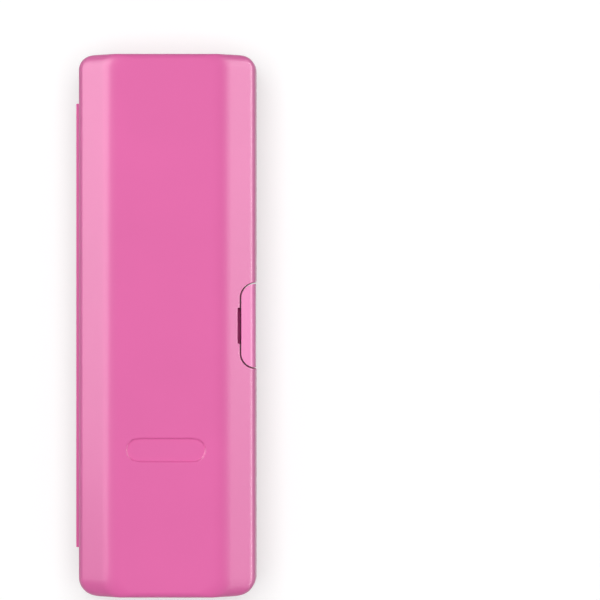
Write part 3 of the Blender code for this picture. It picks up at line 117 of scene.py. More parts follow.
def case_columns():
    """Columns anticlockwise round the case from the notch's middle. Each has its way out (x, y) from
    where a corner's arc starts, that start as a share of the room (x, y), its height on a straight
    side, its part of the notch's edge (1 back, 2 bend, 3 mouth, 4 the side beyond) and its angle there."""
    bend, mouth = np.linspace(0, BEND_LEAN, BEND_STEPS), np.linspace(-BEND_LEAN, 0, MOUTH_STEPS)[1:]
    beyond = np.linspace(0, 1, BEYOND_STEPS)[1:-1] ** BEYOND_SPREAD
    part = np.repeat([1, 2, 3, 4], [NOTCH_BACK.size, bend.size, mouth.size, beyond.size])
    angle = np.concatenate([0 * NOTCH_BACK, bend, mouth, 0 * beyond])
    corner = np.linspace(0, math.pi / 2, CORNER_STEPS)
    cosine, sine, across = np.cos(corner), np.sin(corner), np.linspace(1, -1, END_STEPS)[1:-1]

    def notched(far):
        beyond_y = MOUTH_Y + (far - MOUTH_Y) * beyond
        return np.concatenate([NOTCH_BACK, BEND_Y + 0 * bend, MOUTH_Y + 0 * mouth, beyond_y])

    stretches = (
        (1, 0, 1, 0, notched(SIDE_TOP), part, angle),
        (cosine, sine, 1, 1, 0, 0, 0),
        (0, 1, across, 1, 0, 0, 0),
        (-sine, cosine, -1, 1, 0, 0, 0),
        (-1, 0, -1, 0, np.linspace(SIDE_TOP, -SIDE_FOOT, LEFT_STEPS)[1:-1], 0, 0),
        (-cosine, -sine, -1, -1, 0, 0, 0),
        (0, -1, -across, -1, 0, 0, 0),
        (sine, -cosine, 1, -1, 0, 0, 0),
        (1, 0, 1, 0, -notched(SIDE_FOOT)[:0:-1], part[:0:-1], angle[:0:-1]),
    )
    return np.concatenate([np.stack(np.broadcast_arrays(*fields)) for fields in stretches], axis=1)


OUT_X, OUT_Y, SHARE_X, SHARE_Y, SIDE_Y, NOTCH_PART, NOTCH_ANGLE = case_columns()
UPPER, SIDE_SIGN = (SIDE_Y + SHARE_Y) >= 0, np.where(SIDE_Y < 0, -1, 1)


def notch_edge(offset):
    """(limit on x, height) of each column, with the notch's outline moved inwards by offset: a straight
    back, a quarter turn about the bend's centre and a small turn the other way onto the side."""
    radius, small = NOTCH_RADIUS + offset, np.maximum(MOUTH_RADIUS - offset, 0)
    bend_end = BEND_Y + radius * math.sin(BEND_LEAN)
    side_start = np.maximum(MOUTH_Y, bend_end + RIM_FILLET)
    spread = bend_end + (1 + NOTCH_ANGLE / BEND_LEAN) * (side_start - bend_end)
    mouth_x = np.where(small > 0, MOUTH_X + small * np.cos(NOTCH_ANGLE), HALF_WIDTH)
    mouth_y = np.where(small > 0, MOUTH_Y + small * np.sin(NOTCH_ANGLE), spread)
    height = np.abs(SIDE_Y)
    beyond_y = height + (side_start - MOUTH_Y) * np.clip(1 - (height - MOUTH_Y) / NOTCH_FADE, 0, 1)
    limits = [NOTCH_X - offset + 0 * height, BEND_X - radius * np.cos(NOTCH_ANGLE), mouth_x]
    heights = [height + 0 * radius, BEND_Y + radius * np.sin(NOTCH_ANGLE), mouth_y, beyond_y]
    on_part = [NOTCH_PART == part for part in (1, 2, 3, 4)]
    return np.select(on_part[:3], limits, HALF_WIDTH), np.select(on_part, heights, height) * SIDE_SIGN


def case_ring(inset, end, offset, cut=0.0):
    """(x, y) of every column where the sides stand in by inset and the ends by end, with the corners'
    arcs and the notch's edge moved inwards by offset, and the notch by a further cut."""
    corner = np.maximum(np.where(UPPER, TOP_CORNER, FOOT_CORNER) - offset, INNER_RADIUS)
    room_x, room_y = HALF_WIDTH - inset - corner, HALF_LENGTH - end - corner
    limit, side_y = notch_edge(offset)
    start = np.where(UPPER, SIDE_TOP, SIDE_FOOT)
    slide = smooth_step(1 - (start - np.abs(SIDE_Y)) / SLIDE_SPAN) * (room_y - start)
    y = np.where(SHARE_Y == 0, side_y + SIDE_SIGN * slide, SHARE_Y * room_y + OUT_Y * corner)
    return np.minimum(SHARE_X * room_x + OUT_X * corner, limit - cut), y


def stack(x, y, z):
    """Rows of points from arrays that broadcast together."""
    return np.stack(np.broadcast_arrays(x, y, z), axis=-1)


def eased(before, corner, after):
    """Four rows on a quadratic curve from before to after, drawn towards the corner between them."""
    share = np.linspace(0, 1, 6)[1:-1, None, None]
    return (1 - share) ** 2 * before + 2 * share * (1 - share) * corner + share ** 2 * after


def case_side(rim, up, depth, slot=0.0, ledge=None):
    """Rows from the flat face to just short of the rim, at a depth inside the case's skin: down the
    side line as far as the notch's edge allows, round an eased corner, and straight down. A slot in
    the notch's back ends on a ledge, a height over the rim."""
    walk, inset, drop = side_line(depth)
    limit, _ = notch_edge(depth)
    reached = np.minimum(np.interp(HALF_WIDTH - limit + slot, inset[::-1], walk[::-1]), walk[-2])

    def rows(steps):
        rise = HALF_DEPTH - np.interp(steps, walk, drop)
        x, y = case_ring(np.interp(steps, walk, inset), end_inset(rise, depth), depth, slot)
        return stack(x, y, rim + up * rise)

    slope, corner = rows(np.linspace(0, 1, SLOPE_STEPS)[:, None] * (reached - EDGE_EASE)), rows(reached[None])
    below = corner - [0, 0, up * EDGE_EASE]
    fall = up * (below[..., 2] - rim)
    shares, cuts = UPRIGHT_SHARES, 0 * UPRIGHT_SHARES
    if ledge is not None:
        at = 1 - ledge / fall[0, 0]
        shares = np.array([0, at / 2, at - 0.02, at, at + 0.004, at + 0.02, 0.6, 0.9])
        cuts = np.array([1, 1, 1, 0.9, 0.1, 0, 0, 0])
    rise = fall * (1 - shares[:, None])
    sides = np.interp(HALF_DEPTH - rise, drop, inset)
    x, y = case_ring(sides, end_inset(rise, depth), depth, cuts[:, None] * slot)
    return np.concatenate([slope, eased(slope[-1:], corner, below), stack(x, y, rim + up * rise)])


def rim_rows(rim, up, steps, tongue=0.0):
    """Rows over the rim from (offset, height past the rim, height on the tongue) steps."""
    offset, past, rise = np.array(steps).T[..., None]
    x, y = case_ring(offset, offset, offset)
    return stack(x, y, rim - up * (past + rise * tongue))


def towards(centre, ring, shares):
    """Rows between a centre and a ring, at shares of the way out."""
    return centre + np.asarray(shares)[:, None, None] * (ring - centre)


def make_piece(name, points, faces, finish, body=None, *nodes, slot=None):
    """A smooth mesh of points in millimetres. Without a body it is only a tool for shaping a piece."""
    mesh = bpy.data.meshes.new(name)
    mesh.from_pydata((points * MM).tolist(), [], faces)
    mesh.shade_smooth()
    mesh.materials.append(finish)
    piece = bpy.data.objects.new(name, mesh)
    bpy.context.scene.collection.objects.link(piece)
    if body:
        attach(piece, body)
    if nodes:
        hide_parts(*nodes)
    return piece


def lay_skin(name, rows, finish, body=None, *nodes, slot=None, poles=True):
    """A closed skin over rows of points (row, column, xyz). Every row closes on itself. The first and
    last rows are single points, or where poles is False they join each other. Where its volume, a sum
    of triple products over its faces, comes out negative, the faces are turned round."""
    rows = np.asarray(rows, float)
    count, width = rows.shape[:2]
    if poles:
        points = np.concatenate([rows[:1, 0], rows[1:-1].reshape(-1, 3), rows[-1:, 0]])
        rings = 1 + np.arange((count - 2) * width).reshape(count - 2, width)
    else:
        points = rows.reshape(-1, 3)
        rings = np.arange(count * width).reshape(count, width)
        rings = np.concatenate([rings, rings[:1]])
    beside = np.roll(rings, -1, axis=1)
    faces = np.stack([rings[:-1], beside[:-1], beside[1:], rings[1:]], axis=-1).reshape(-1, 4)
    a, b, c, d = points[faces.T] - points[0]
    volume = np.sum(a * (np.cross(b, c) + np.cross(c, d)))
    faces = faces.tolist()
    if poles:
        faces += np.stack([0 * rings[0], beside[0], rings[0]], axis=-1).tolist()
        faces += np.stack([0 * rings[0] + len(points) - 1, rings[-1], beside[-1]], axis=-1).tolist()
    if volume < 0:
        faces = [face[::-1] for face in faces]
    return make_piece(name, points, faces, finish, body, *nodes, slot=slot)


def new_finish(name):
    """A new material, with its nodes and the call that links them."""
    finish = bpy.data.materials.new(name)
    finish.use_nodes = True
    return finish, finish.node_tree.nodes, finish.node_tree.links.new


def noise(nodes, link, place, size, detail=2):
    """Soft noise over a place, in clouds of a size in millimetres."""
    cloud = nodes.new("ShaderNodeTexNoise")
    cloud.inputs["Scale"].default_value = 1 / (size * MM)
    cloud.inputs["Detail"].default_value = detail
    link(place, cloud.inputs["Vector"])
    return cloud.outputs["Fac"]


def between(nodes, link, share, low, high):
    """A value that runs in a straight line from low to high as a share goes from 0 to 1."""
    span = nodes.new("ShaderNodeMapRange")
    link(share, span.inputs["Value"])
    span.inputs["To Min"].default_value, span.inputs["To Max"].default_value = low, high
    return span.outputs["Result"]


def mixed(nodes, link, share, first, second):
    """The base colour runs from the first colour to the second with a share. The first may be a
    socket."""
    tint = nodes.new("ShaderNodeMix")
    tint.data_type = "RGBA"
    link(share, tint.inputs["Factor"])
    if isinstance(first, bpy.types.NodeSocket):
        link(first, tint.inputs["A"])
    else:
        tint.inputs["A"].default_value = first
    tint.inputs["B"].default_value = second
    link(tint.outputs["Result"], nodes["Principled BSDF"].inputs["Base Color"])


def dress(nodes, link, clouds, fine, colour, tints, roughness, grain):
    """The colour runs between two tints of itself with the clouds. The fine noise moves the roughness
    between two values and raises a grain of that strength."""
    shader = nodes["Principled BSDF"]
    mixed(nodes, link, clouds, *((*(min(c * tint, 1) for c in colour), 1) for tint in tints))
    link(between(nodes, link, fine, *roughness), shader.inputs["Roughness"])
    bump = nodes.new("ShaderNodeBump")
    bump.inputs["Strength"].default_value = grain
    bump.inputs["Distance"].default_value = GRAIN_DEPTH * MM
    link(fine, bump.inputs["Height"])
    link(bump.outputs["Normal"], shader.inputs["Normal"])
    return shader


def moulded(name, colour, roughness=0.4, mottle=0.05, grain=0.12, grain_size=0.35, coat=0.0, shine=0.5):
    """Moulded plastic: the colour drifts a little in broad clouds, and a fine grain breaks up the
    roughness and the surface."""
    finish, nodes, link = new_finish(name)
    place = nodes.new("ShaderNodeTexCoord").outputs["Object"]
    clouds, fine = noise(nodes, link, place, CLOUD_SIZE), noise(nodes, link, place, grain_size)
    rough = (roughness - ROUGH_SPREAD, roughness + ROUGH_SPREAD)
    shader = dress(nodes, link, clouds, fine, colour, (1 - mottle, 1 + mottle), rough, grain)
    shader.inputs["Specular IOR Level"].default_value = shine
    shader.inputs["Coat Weight"].default_value = coat
    shader.inputs["Coat Roughness"].default_value = COAT_ROUGHNESS
    return finish


# Partly painted shade: the base's pink is set darker than the lid's to stand in for the shade inside the
# tray.
base_pink_shaded = moulded("deep_pink_plastic_and_shade", (0.57, 0.03, 0.155), coat=0.1)
fillet = np.column_stack([RIM_FILLET * ARC_UP, -RIM_FILLET * ARC_DOWN, 0 * QUARTER]).tolist()
tongue_rows = fillet + [(1.0, 0, 0), (1.08, 0, 0.02), (1.12, 0, 0.2), (1.14, 0, 0.85), (1.24, 0, 1),
                        (1.62, 0, 1), (1.74, 0, 0.85), (1.78, 0, 0.2), (1.8, 0, 0)]
column_x, column_y = case_ring(0, 0, 0)
tongue = smooth_step((column_x - TONGUE_LEFT) / TONGUE_FADE + 0.5)
past_notch = smooth_step((np.abs(column_y) - TONGUE_CLEAR) / TONGUE_FADE + 0.5)
tongue = tongue * np.where(column_x > 0, past_notch, 1)
outer, inner = case_side(BASE_RIM, -1, 0), case_side(BASE_RIM, -1, CASE_WALL)[::-1]
face = towards(np.append(FACE_CENTRE, 0), outer[:1], INWARDS[::-1])
floor = towards(np.append(FACE_CENTRE, CASE_WALL), inner[-1:], INWARDS)
shell = np.concatenate([face, outer, rim_rows(BASE_RIM, -1, tongue_rows, tongue), inner, floor])
lay_skin("base_skin", shell, base_pink_shaded, "base", "base_shell", slot="case_plastic")


def capped(rows):
    """Rows between the middles of the first and the last, which close both ends."""
    ends = np.broadcast_to(rows[[0, -1]].mean(axis=1, keepdims=True), (2, *rows.shape[1:]))
    return np.concatenate([ends[:1], rows, ends[1:]])


def bar(name, span_x, half, span_z, radius, finish, body, *nodes, slot):
    """A rounded bar: a rectangle with round corners across x and z, carried along y for half its length
    each way, and drawn in at both ends on quarter circles of the same radius."""
    turn = np.concatenate([QUARTER + k * math.pi / 2 for k in range(4)])
    kept = SHARP_END + (1 - SHARP_END) * np.sin(QUARTER)
    kept = radius * np.concatenate([kept, kept[::-1]])[:, None]
    y = half - radius * ARC_UP
    sides = []
    for (low, high), way, wave in ((span_x, (1, -1, -1, 1), np.cos), (span_z, (1, 1, -1, -1), np.sin)):
        corner = (low + high) / 2 + np.repeat(way, QUARTER.size) * ((high - low) / 2 - radius)
        sides.append(corner + kept * wave(turn))
    rows = stack(sides[0], np.concatenate([-y, y[::-1]])[:, None], sides[1])
    return lay_skin(name, capped(rows), finish, body, *nodes, slot=slot)


LIP_X, LIP_HALF, STRAP_HALF, LUG_X = (-35.1, -33.1), 85.0, 6.15, (27.0, 29.3)
bar("base_lip", LIP_X, LIP_HALF, (15.35, 16.75), 0.3, base_pink_shaded, "base", slot="case_plastic")
bar("clasp_lug", LUG_X, STRAP_HALF, (6.4, 7.9), 0.25, base_pink_shaded, "base", slot="case_plastic")


# Lid shell
# The front half: the same tray in a lighter pink, with a shallow oval recess for a label, a slot
# for a fingernail in the notch, a rebate round its rim over the base's tongue, and a catch.

LID_RIM, FACE_Z = 19.3, 38.3
LABEL_HALF, LABEL_RADIUS, LABEL_DEPTH, LABEL_FILLET, LABEL_EASE = 15.0, 4.4, 0.7, 0.33, 0.6
LABEL_FAR, LABEL_NEAR, FACE_SHARES = (2.2, 1.3, 0.8), (-0.8,), (0.12, 0.3, 0.5, 0.7, 0.88, 0.97)
NAIL_HALF, NAIL_DEPTH, NAIL_FLOOR, NAIL_EASE = 6.8, 0.8, 28.3, 0.15
CATCH_X, CATCH_HALF = (27.0, 29.2), 5.85


def label_ring(ring, inset):
    """The stadium-shaped edge of the recess, moved inwards by inset, where the straight line from
    the face's centre to each point of a ring crosses it."""
    offset = ring[..., :2] - FACE_CENTRE
    angle = np.arctan2(offset[..., 1], offset[..., 0])
    radius, straight = LABEL_RADIUS - inset, LABEL_HALF - LABEL_RADIUS
    sine, cosine = np.abs(np.sin(angle)), np.abs(np.cos(angle))
    flat = radius / np.maximum(sine, 1e-6)
    round_end = straight * cosine + np.sqrt(np.maximum(radius ** 2 - (straight * sine) ** 2, 0))
    reach = np.where(flat * cosine <= straight, flat, round_end)
    return FACE_CENTRE[0] + reach * np.cos(angle), FACE_CENTRE[1] + reach * np.sin(angle)


lid_pink = moulded("light_pink_plastic", (0.71, 0.107, 0.355), coat=0.1)
in_slot = smooth_step((NAIL_HALF + NAIL_EASE - np.abs(SIDE_Y)) / (2 * NAIL_EASE)) * (NOTCH_PART == 1)
outer = case_side(LID_RIM, 1, 0, slot=NAIL_DEPTH * in_slot, ledge=NAIL_FLOOR - LID_RIM)
# The inner wall starts above the rebate, so its row nearest the rim is left out.
inner = case_side(LID_RIM, 1, CASE_WALL)[-2::-1]
rebate_rows = fillet + [(0.6, 0, 0), (0.74, -0.04, 0), (0.8, -0.16, 0), (0.8, -0.86, 0), (0.86, -0.98, 0),
                        (0.98, -1.04, 0), (1.7, -1.04, 0), (1.8, -1.14, 0)]
insets = np.concatenate([LABEL_FAR, LABEL_EASE * ARC_DOWN, -LABEL_EASE * ARC_UP, LABEL_NEAR])[:, None]
heights = np.concatenate([[0, 0, 0], LABEL_FILLET * ARC_UP,
                          LABEL_DEPTH - LABEL_FILLET * ARC_DOWN, [LABEL_DEPTH]])
recess = stack(*label_ring(outer[0], insets), FACE_Z - LABEL_DEPTH + heights[:, None])
centre = stack(*FACE_CENTRE, FACE_Z - LABEL_DEPTH + 0 * SIDE_Y)
plain = towards(recess[-1], outer[0], FACE_SHARES)
floor = towards(np.append(FACE_CENTRE, FACE_Z - CASE_WALL), inner[-1:], INWARDS)
shell = np.concatenate([[centre], recess, plain, outer, rim_rows(LID_RIM, 1, rebate_rows), inner, floor])
lay_skin("lid_skin", shell, lid_pink, "lid", "lid_shell", slot="lid_plastic")
bar("lid_lip", LIP_X, LIP_HALF, (21.55, 22.95), 0.3, lid_pink, "lid", slot="lid_plastic")
bar("lid_catch", CATCH_X, CATCH_HALF, (21.6, 23.2), 0.3, lid_pink, "lid", slot="lid_plastic")


# Spine strip
# A flat strip of the same plastic, 0.8 mm thick, that bends along both its long edges. Its colour is
# the lid's pink made greyer and darker: painted shade for its place at the case's edge.

SPINE_X, SPINE_HALF, SPINE_Z = (-35.1, -34.3), 84.7, (17.05, 21.25)
# Painted shade: the strip's pink is greyer and darker than the lid's.
spine_pink_shaded = moulded("spine_plastic", (0.66, 0.13, 0.33), 0.45)
bar("spine_leaf", SPINE_X, SPINE_HALF, SPINE_Z, 0.38, spine_pink_shaded, "spine", "spine_strip",
    slot="spine_plastic")


# Clasp
# A shallow tub moulded in one with its thin bending strap. Closed, its skin carries on the lid's
# and the base's shoulder, and a ridge inside it holds the lid's catch.

CLASP_X, CLASP_FOOT, CLASP_WALL, CLASP_EDGE, CLASP_END = 28.4, 11.7, 1.5, 0.35, 0.3
CLASP_HALF, CLASP_BEND, CLASP_TURN, CLASP_LEAST = 15.9, 5.4, 1.15, 0.02
DOWN_STEPS, FALL_STEPS, UNDER_STEPS, MIDDLE_STEPS, TURN_STEPS = 34, 12, 8, 9, 18
WALL_STEPS = np.array([-0.12, -0.02, 0.02, 0.12])
STRAP_X, RIDGE_X = (28.4, 29.0), (29.5, 33.0)


def clasp_back(y):
    """x of the tub's open back: straight, and a quarter circle towards each end."""
    over = np.clip(np.abs(y) - (CLASP_HALF - CLASP_BEND), 0, CLASP_BEND)
    return CLASP_X + CLASP_BEND - np.sqrt(CLASP_BEND ** 2 - over ** 2)


def clasp_line(depth, back):
    """The tub's section, moved inwards by depth, from its back edge on the shoulder down the case's
    side to its foot, round a quarter circle and back under it."""
    walk, inset, drop = (line[:-1] for line in side_line(depth))
    start = np.minimum(np.interp(HALF_WIDTH - back, inset[::-1], walk[::-1]), walk[-1] - CLASP_LEAST)
    steps = start + (walk[-1] - start) * np.linspace(0, 1, DOWN_STEPS)[:, None]
    x, z = HALF_WIDTH - np.interp(steps, walk, inset), FACE_Z - np.interp(steps, walk, drop)
    side, top, foot = x[-1:], z[-1:], CLASP_FOOT + depth
    fall, under = (np.linspace(0, 1, count)[1:, None] for count in (FALL_STEPS, UNDER_STEPS))
    room = np.minimum(CLASP_EDGE, np.maximum(side - back, 0))
    low = side - room
    x = [x, side + 0 * fall, side - room * ARC_UP[1:, None], low + under * (back - low)]
    z = [z, top + fall * (foot + CLASP_EDGE - top), foot + CLASP_EDGE * ARC_DOWN[1:, None] + 0 * side,
         foot + 0 * under * side]
    return np.concatenate(x), np.concatenate(z)


def clasp_skin():
    """Closed loops, one at each height y: the outer line down, then the inner line back up. Beyond the
    room inside, the inner line closes onto the back edge, which makes the end walls."""
    inside, bend = CLASP_HALF - CLASP_WALL, CLASP_HALF - CLASP_BEND
    upper = np.concatenate([np.linspace(0, bend, MIDDLE_STEPS)[:-1],
                            bend + CLASP_BEND * np.sin(np.linspace(0, CLASP_TURN, TURN_STEPS)),
                            inside + WALL_STEPS, CLASP_HALF - CLASP_END * ARC_DOWN])
    upper = np.unique(np.round(upper, 4))
    y = np.concatenate([-upper[:0:-1], upper])
    back = clasp_back(y)
    outer_x, outer_z = clasp_line(0, back)
    inner_x, inner_z = clasp_line(CLASP_WALL, back)
    solid = np.abs(y) > inside
    closed_z = outer_z[:1] + np.linspace(0, 1, len(inner_x))[:, None] * (CLASP_FOOT - outer_z[:1])
    inner_x = np.where(solid, back, np.maximum(inner_x, back))
    inner_z = np.where(solid, closed_z, inner_z)
    x, z = np.concatenate([outer_x, inner_x[::-1]]), np.concatenate([outer_z, inner_z[::-1]])
    return capped(stack(x, y, z).swapaxes(0, 1))


clasp_pink = moulded("clasp_plastic", (0.82, 0.14, 0.44), coat=0.1)
lay_skin("clasp_tub", clasp_skin(), clasp_pink, "clasp_flap", "clasp", slot="clasp_plastic")
bar("clasp_strap", STRAP_X, STRAP_HALF, (8.2, 12.6), 0.28, clasp_pink, "clasp_flap", slot="clasp_plastic")
bar("clasp_ridge", RIDGE_X, CATCH_HALF, (23.5, 24.7), 0.3, clasp_pink, "clasp_flap", slot="clasp_plastic")


# Handle housing
# The toothbrush's white body: one moulded tube, narrowed where the grip goes over it, with a flared
# shoulder and a slim neck. It is bored out from the foot for the chassis.

FIT = 0.3
HANDLE = np.array([-4.0, -98.0, 17.9])
FOOT_EDGE = 4.5
STATIONS = np.array([(FOOT_EDGE, 13.4), (32, 14.4), (72, 13.9), (122, 14.7), (149, 13.6),
                     (158, 3.4), (169, 3.4)])
CAP_TOP, GRIP_LOW, GRIP_HIGH, NECK_TOP = 2.0, 43.0, 149.0, 169.0
GRIP_THICK, BORE, SHAFT_BORE = 1.8, 10.5, 2.1
BUSH_LOW, BUSH_HIGH, BUSH_OUT = 140.3, 147.3, 4.6
STEM_RADIUS, STEM_CUT, BUTTON_Y = 2.0, 16.0, 18.0
AROUND = np.linspace(0, 2 * math.pi, 96, endpoint=False)
KEPT_EDGE = math.radians(35)
HOUSING_EDGE, EDGE_SHARE, EDGE_BEYOND = 0.25, 0.42, 1.15


def waved(stations, height):
    """Radius at heights: half a cosine wave from each (height, radius) station to the next."""
    height = np.asarray(height, float)
    low = np.clip(np.searchsorted(stations[:, 0], height) - 1, 0, len(stations) - 2)
    start, rise = stations[low], stations[low + 1] - stations[low]
    share = np.clip((height - start[..., 0]) / rise[..., 0], 0, 1)
    return start[..., 1] + rise[..., 1] * (1 - np.cos(math.pi * share)) / 2


def handle_radius(height):
    """Radius of the handle at heights above its foot, which has a quarter circle round its edge."""
    left = FOOT_EDGE - np.clip(height, 0, FOOT_EDGE)
    return waved(STATIONS, height) - FOOT_EDGE + np.sqrt(FOOT_EDGE ** 2 - left ** 2)


def handle_line(low, high, growth=0.0, count=40):
    """(radius, height) points up the handle between two heights, made thicker by growth."""
    heights = np.linspace(low, high, count)
    return np.column_stack([handle_radius(heights) + growth, heights])


def rounded_line(corners, edges):
    """A line through (x, y) corners. A corner with an edge radius becomes a quadratic curve that starts
    and ends that far from it, or a share of the shorter side, with a point just beyond each end."""
    corners = np.asarray(corners, float)
    edges = np.broadcast_to(np.asarray(edges, float), len(corners))
    back, on = np.roll(corners, 1, axis=0) - corners, np.roll(corners, -1, axis=0) - corners
    back_size = np.linalg.norm(back, axis=1, keepdims=True)
    on_size = np.linalg.norm(on, axis=1, keepdims=True)
    reach = np.minimum(edges[:, None], EDGE_SHARE * np.minimum(back_size, on_size))
    start, stop = (back / back_size * reach)[:, None], (on / on_size * reach)[:, None]
    share = np.linspace(0, 1, 6)[None, :, None]
    bend = (1 - share) ** 2 * start + share ** 2 * stop
    bend = np.concatenate([EDGE_BEYOND * start, bend, EDGE_BEYOND * stop], axis=1)
    keep = (edges > 0)[:, None] | (np.arange(bend.shape[1]) == 0)
    return (corners[:, None] + bend)[keep]


def rounded_join(radius, *parts):
    """Lines joined in turn, with the corner at each join rounded and both far ends too."""
    edges = np.concatenate([[radius] + [0] * (len(part) - 2) + [radius] for part in parts])
    return rounded_line(np.concatenate(parts), edges)


def turned(name, profile, foot, finish, body=None, *nodes, slot=None, edges=None, loop=False, upright=False):
    """A (radius, distance) profile turned about a line from foot along +Y, or +Z if upright, its corners
    rounded by the edges. An open profile starts and ends on the line, and a loop makes a ring."""
    if edges is not None:
        profile = rounded_line(profile, edges)
    radius, along = np.asarray(profile, float).T[..., None]
    out, side = radius * np.cos(AROUND), radius * np.sin(AROUND)
    offset = stack(out, side, along) if upright else stack(out, along, side)
    return lay_skin(name, offset + foot, finish, body, *nodes, slot=slot, poles=not loop)


def shaped(piece, operation, *tools):
    """Joins tools to a piece or cuts them out of it, and keeps the edges that this makes."""
    for tool in tools:
        step = piece.modifiers.new("shaping", "BOOLEAN")
        step.operation, step.solver, step.object = operation, "EXACT", tool
    graph = bpy.context.evaluated_depsgraph_get()
    mesh = bpy.data.meshes.new_from_object(piece.evaluated_get(graph))
    piece.modifiers.clear()
    piece.data = mesh
    for tool in tools:
        bpy.data.objects.remove(tool)
    mesh.shade_smooth()
    mesh.set_sharp_from_angle(angle=KEPT_EDGE)
    return piece


white = moulded("white_plastic", (0.87, 0.87, 0.88), 0.28, mottle=0.01, grain=0.05, coat=0.25)
housing = rounded_join(
    HOUSING_EDGE,
    handle_line(CAP_TOP + FIT, GRIP_LOW),
    handle_line(GRIP_LOW, GRIP_HIGH, -GRIP_THICK - FIT),
    handle_line(GRIP_HIGH, NECK_TOP, count=60),
    [(SHAFT_BORE, NECK_TOP), (SHAFT_BORE, BUSH_HIGH + FIT)],
    [(BUSH_OUT + FIT, BUSH_HIGH + FIT), (BUSH_OUT + FIT, BUSH_LOW)],
    [(BORE, BUSH_LOW), (BORE, CAP_TOP + FIT)],
)
housing = turned("housing_skin", housing, HANDLE, white, "base", "handle_housing",
                 slot="white_plastic", loop=True)
stem_hole = [(0, 0), (STEM_RADIUS + FIT, 0), (STEM_RADIUS + FIT, STEM_CUT), (0, STEM_CUT)]
button_centre = np.array([HANDLE[0], BUTTON_Y, HANDLE[2]])
shaped(housing, "DIFFERENCE", turned("stem_hole", stem_hole, button_centre, white, upright=True))


# Grip sleeve
# Soft black rubber, 1.8 mm thick, moulded over the housing with an oval window for the button.

WINDOW_HALF, WINDOW_STRAIGHT, WINDOW_LOW, CUT_TOP = 13.7, 8.8, 5.0, 17.0
GRIP_EDGE, GRIP_STEPS = 0.3, 70
STRAIGHT = np.linspace(-1, 1, 13)[1:-1]
HALF_TURN = np.linspace(0, math.pi, 37)
OVAL_SHARE = np.concatenate([STRAIGHT, 1 + 0 * HALF_TURN, -STRAIGHT, -1 + 0 * HALF_TURN])
OVAL_X = np.concatenate([1 + 0 * STRAIGHT, np.cos(HALF_TURN), -1 + 0 * STRAIGHT, -np.cos(HALF_TURN)])
OVAL_Y = np.concatenate([0 * STRAIGHT, np.sin(HALF_TURN), 0 * STRAIGHT, -np.sin(HALF_TURN)])


def oval(half_width, straight):
    """(x, y) of an upright oval about the button's centre: straight sides between two half circles."""
    return HANDLE[0] + half_width * OVAL_X, BUTTON_Y + straight * OVAL_SHARE + half_width * OVAL_Y


def over_handle(x, y, growth):
    """Height of the handle's upper surface over (x, y), made thicker by growth."""
    radius = handle_radius(y - HANDLE[1]) + growth
    return HANDLE[2] + np.sqrt(np.maximum(radius ** 2 - (x - HANDLE[0]) ** 2, 0))


def column(name, ring, low, high, finish):
    """A tool with the outline ring (x, y) from one height above the handle's axis to another."""
    x, y = ring
    low, high = HANDLE[2] + low + 0 * x, HANDLE[2] + high + 0 * x
    middle = [np.mean(x), np.mean(y)]
    rows = [stack(*middle, low), stack(x, y, low), stack(x, y, high), stack(*middle, high)]
    return lay_skin(name, rows, finish)


rubber = moulded("black_rubber", (0.012, 0.012, 0.014), 0.55, mottle=0.12, grain=0.5, grain_size=0.5,
                 shine=0.2)
grip = [handle_line(GRIP_LOW + FIT, GRIP_HIGH - FIT, growth, GRIP_STEPS) for growth in (0, -GRIP_THICK)]
grip = rounded_join(GRIP_EDGE, grip[0], grip[1][::-1])
grip = turned("grip_skin", grip, HANDLE, rubber, "base", "grip_sleeve", slot="black_rubber", loop=True)
window = column("grip_window", oval(WINDOW_HALF, WINDOW_STRAIGHT), WINDOW_LOW, CUT_TOP, rubber)
shaped(grip, "DIFFERENCE", window)


# Button bezel
# A glossy white oval ring pressed into the grip's window, standing 0.4 mm above the rubber.

BEZEL_OUT, BEZEL_IN = np.array([13.4, 8.8]), np.array([10.0, 6.8])
BEZEL_PROUD, BEZEL_FOOT, BEZEL_EDGE, BEZEL_LEAST = 0.4, 5.3, 0.35, 0.3
SIDE_SHARES, EDGE_END, BEZEL_STEPS = (0.1, 0.5, 0.9), 1.3, 12


def rounded_drop(distance, radius):
    """How far a rounded edge falls at a distance in from it: a quarter circle."""
    left = np.clip(radius - distance, 0, radius)
    return radius - np.sqrt(radius ** 2 - left ** 2)


def bezel_rows():
    """Rows round the ring's section: up the hole, over the top from hole to outside, down the
    outside and back under."""
    width = BEZEL_OUT - BEZEL_IN
    near = BEZEL_EDGE * np.append(ARC_UP, EDGE_END) / width[0]
    shares = np.linspace(near[-1], 1 - near[-1], BEZEL_STEPS)[1:-1]
    shares = np.concatenate([near, shares, 1 - near[::-1]])[:, None]
    x, y = oval(*(BEZEL_IN + shares * width).T[..., None])
    top = over_handle(x, y, BEZEL_PROUD) - rounded_drop(np.minimum(shares, 1 - shares) * width[0], BEZEL_EDGE)
    foot = np.maximum(over_handle(x, y, -GRIP_THICK), HANDLE[2] + BEZEL_FOOT)
    above, below = stack(x, y, top), stack(x, y, np.minimum(foot, top - BEZEL_LEAST))[::-1]
    outside, inside = towards(above[-1], below[0], SIDE_SHARES), towards(below[-1], above[0], SIDE_SHARES)
    return np.concatenate([above, outside, below, inside])


lay_skin("bezel_skin", bezel_rows(), white, "base", "button_bezel", slot="white_plastic", poles=False)


# Power button
# A soft black pad with a raised panel, one stem under it, a printed ring and a seat for the lamp. It
# is pressed in by 0.6 mm.

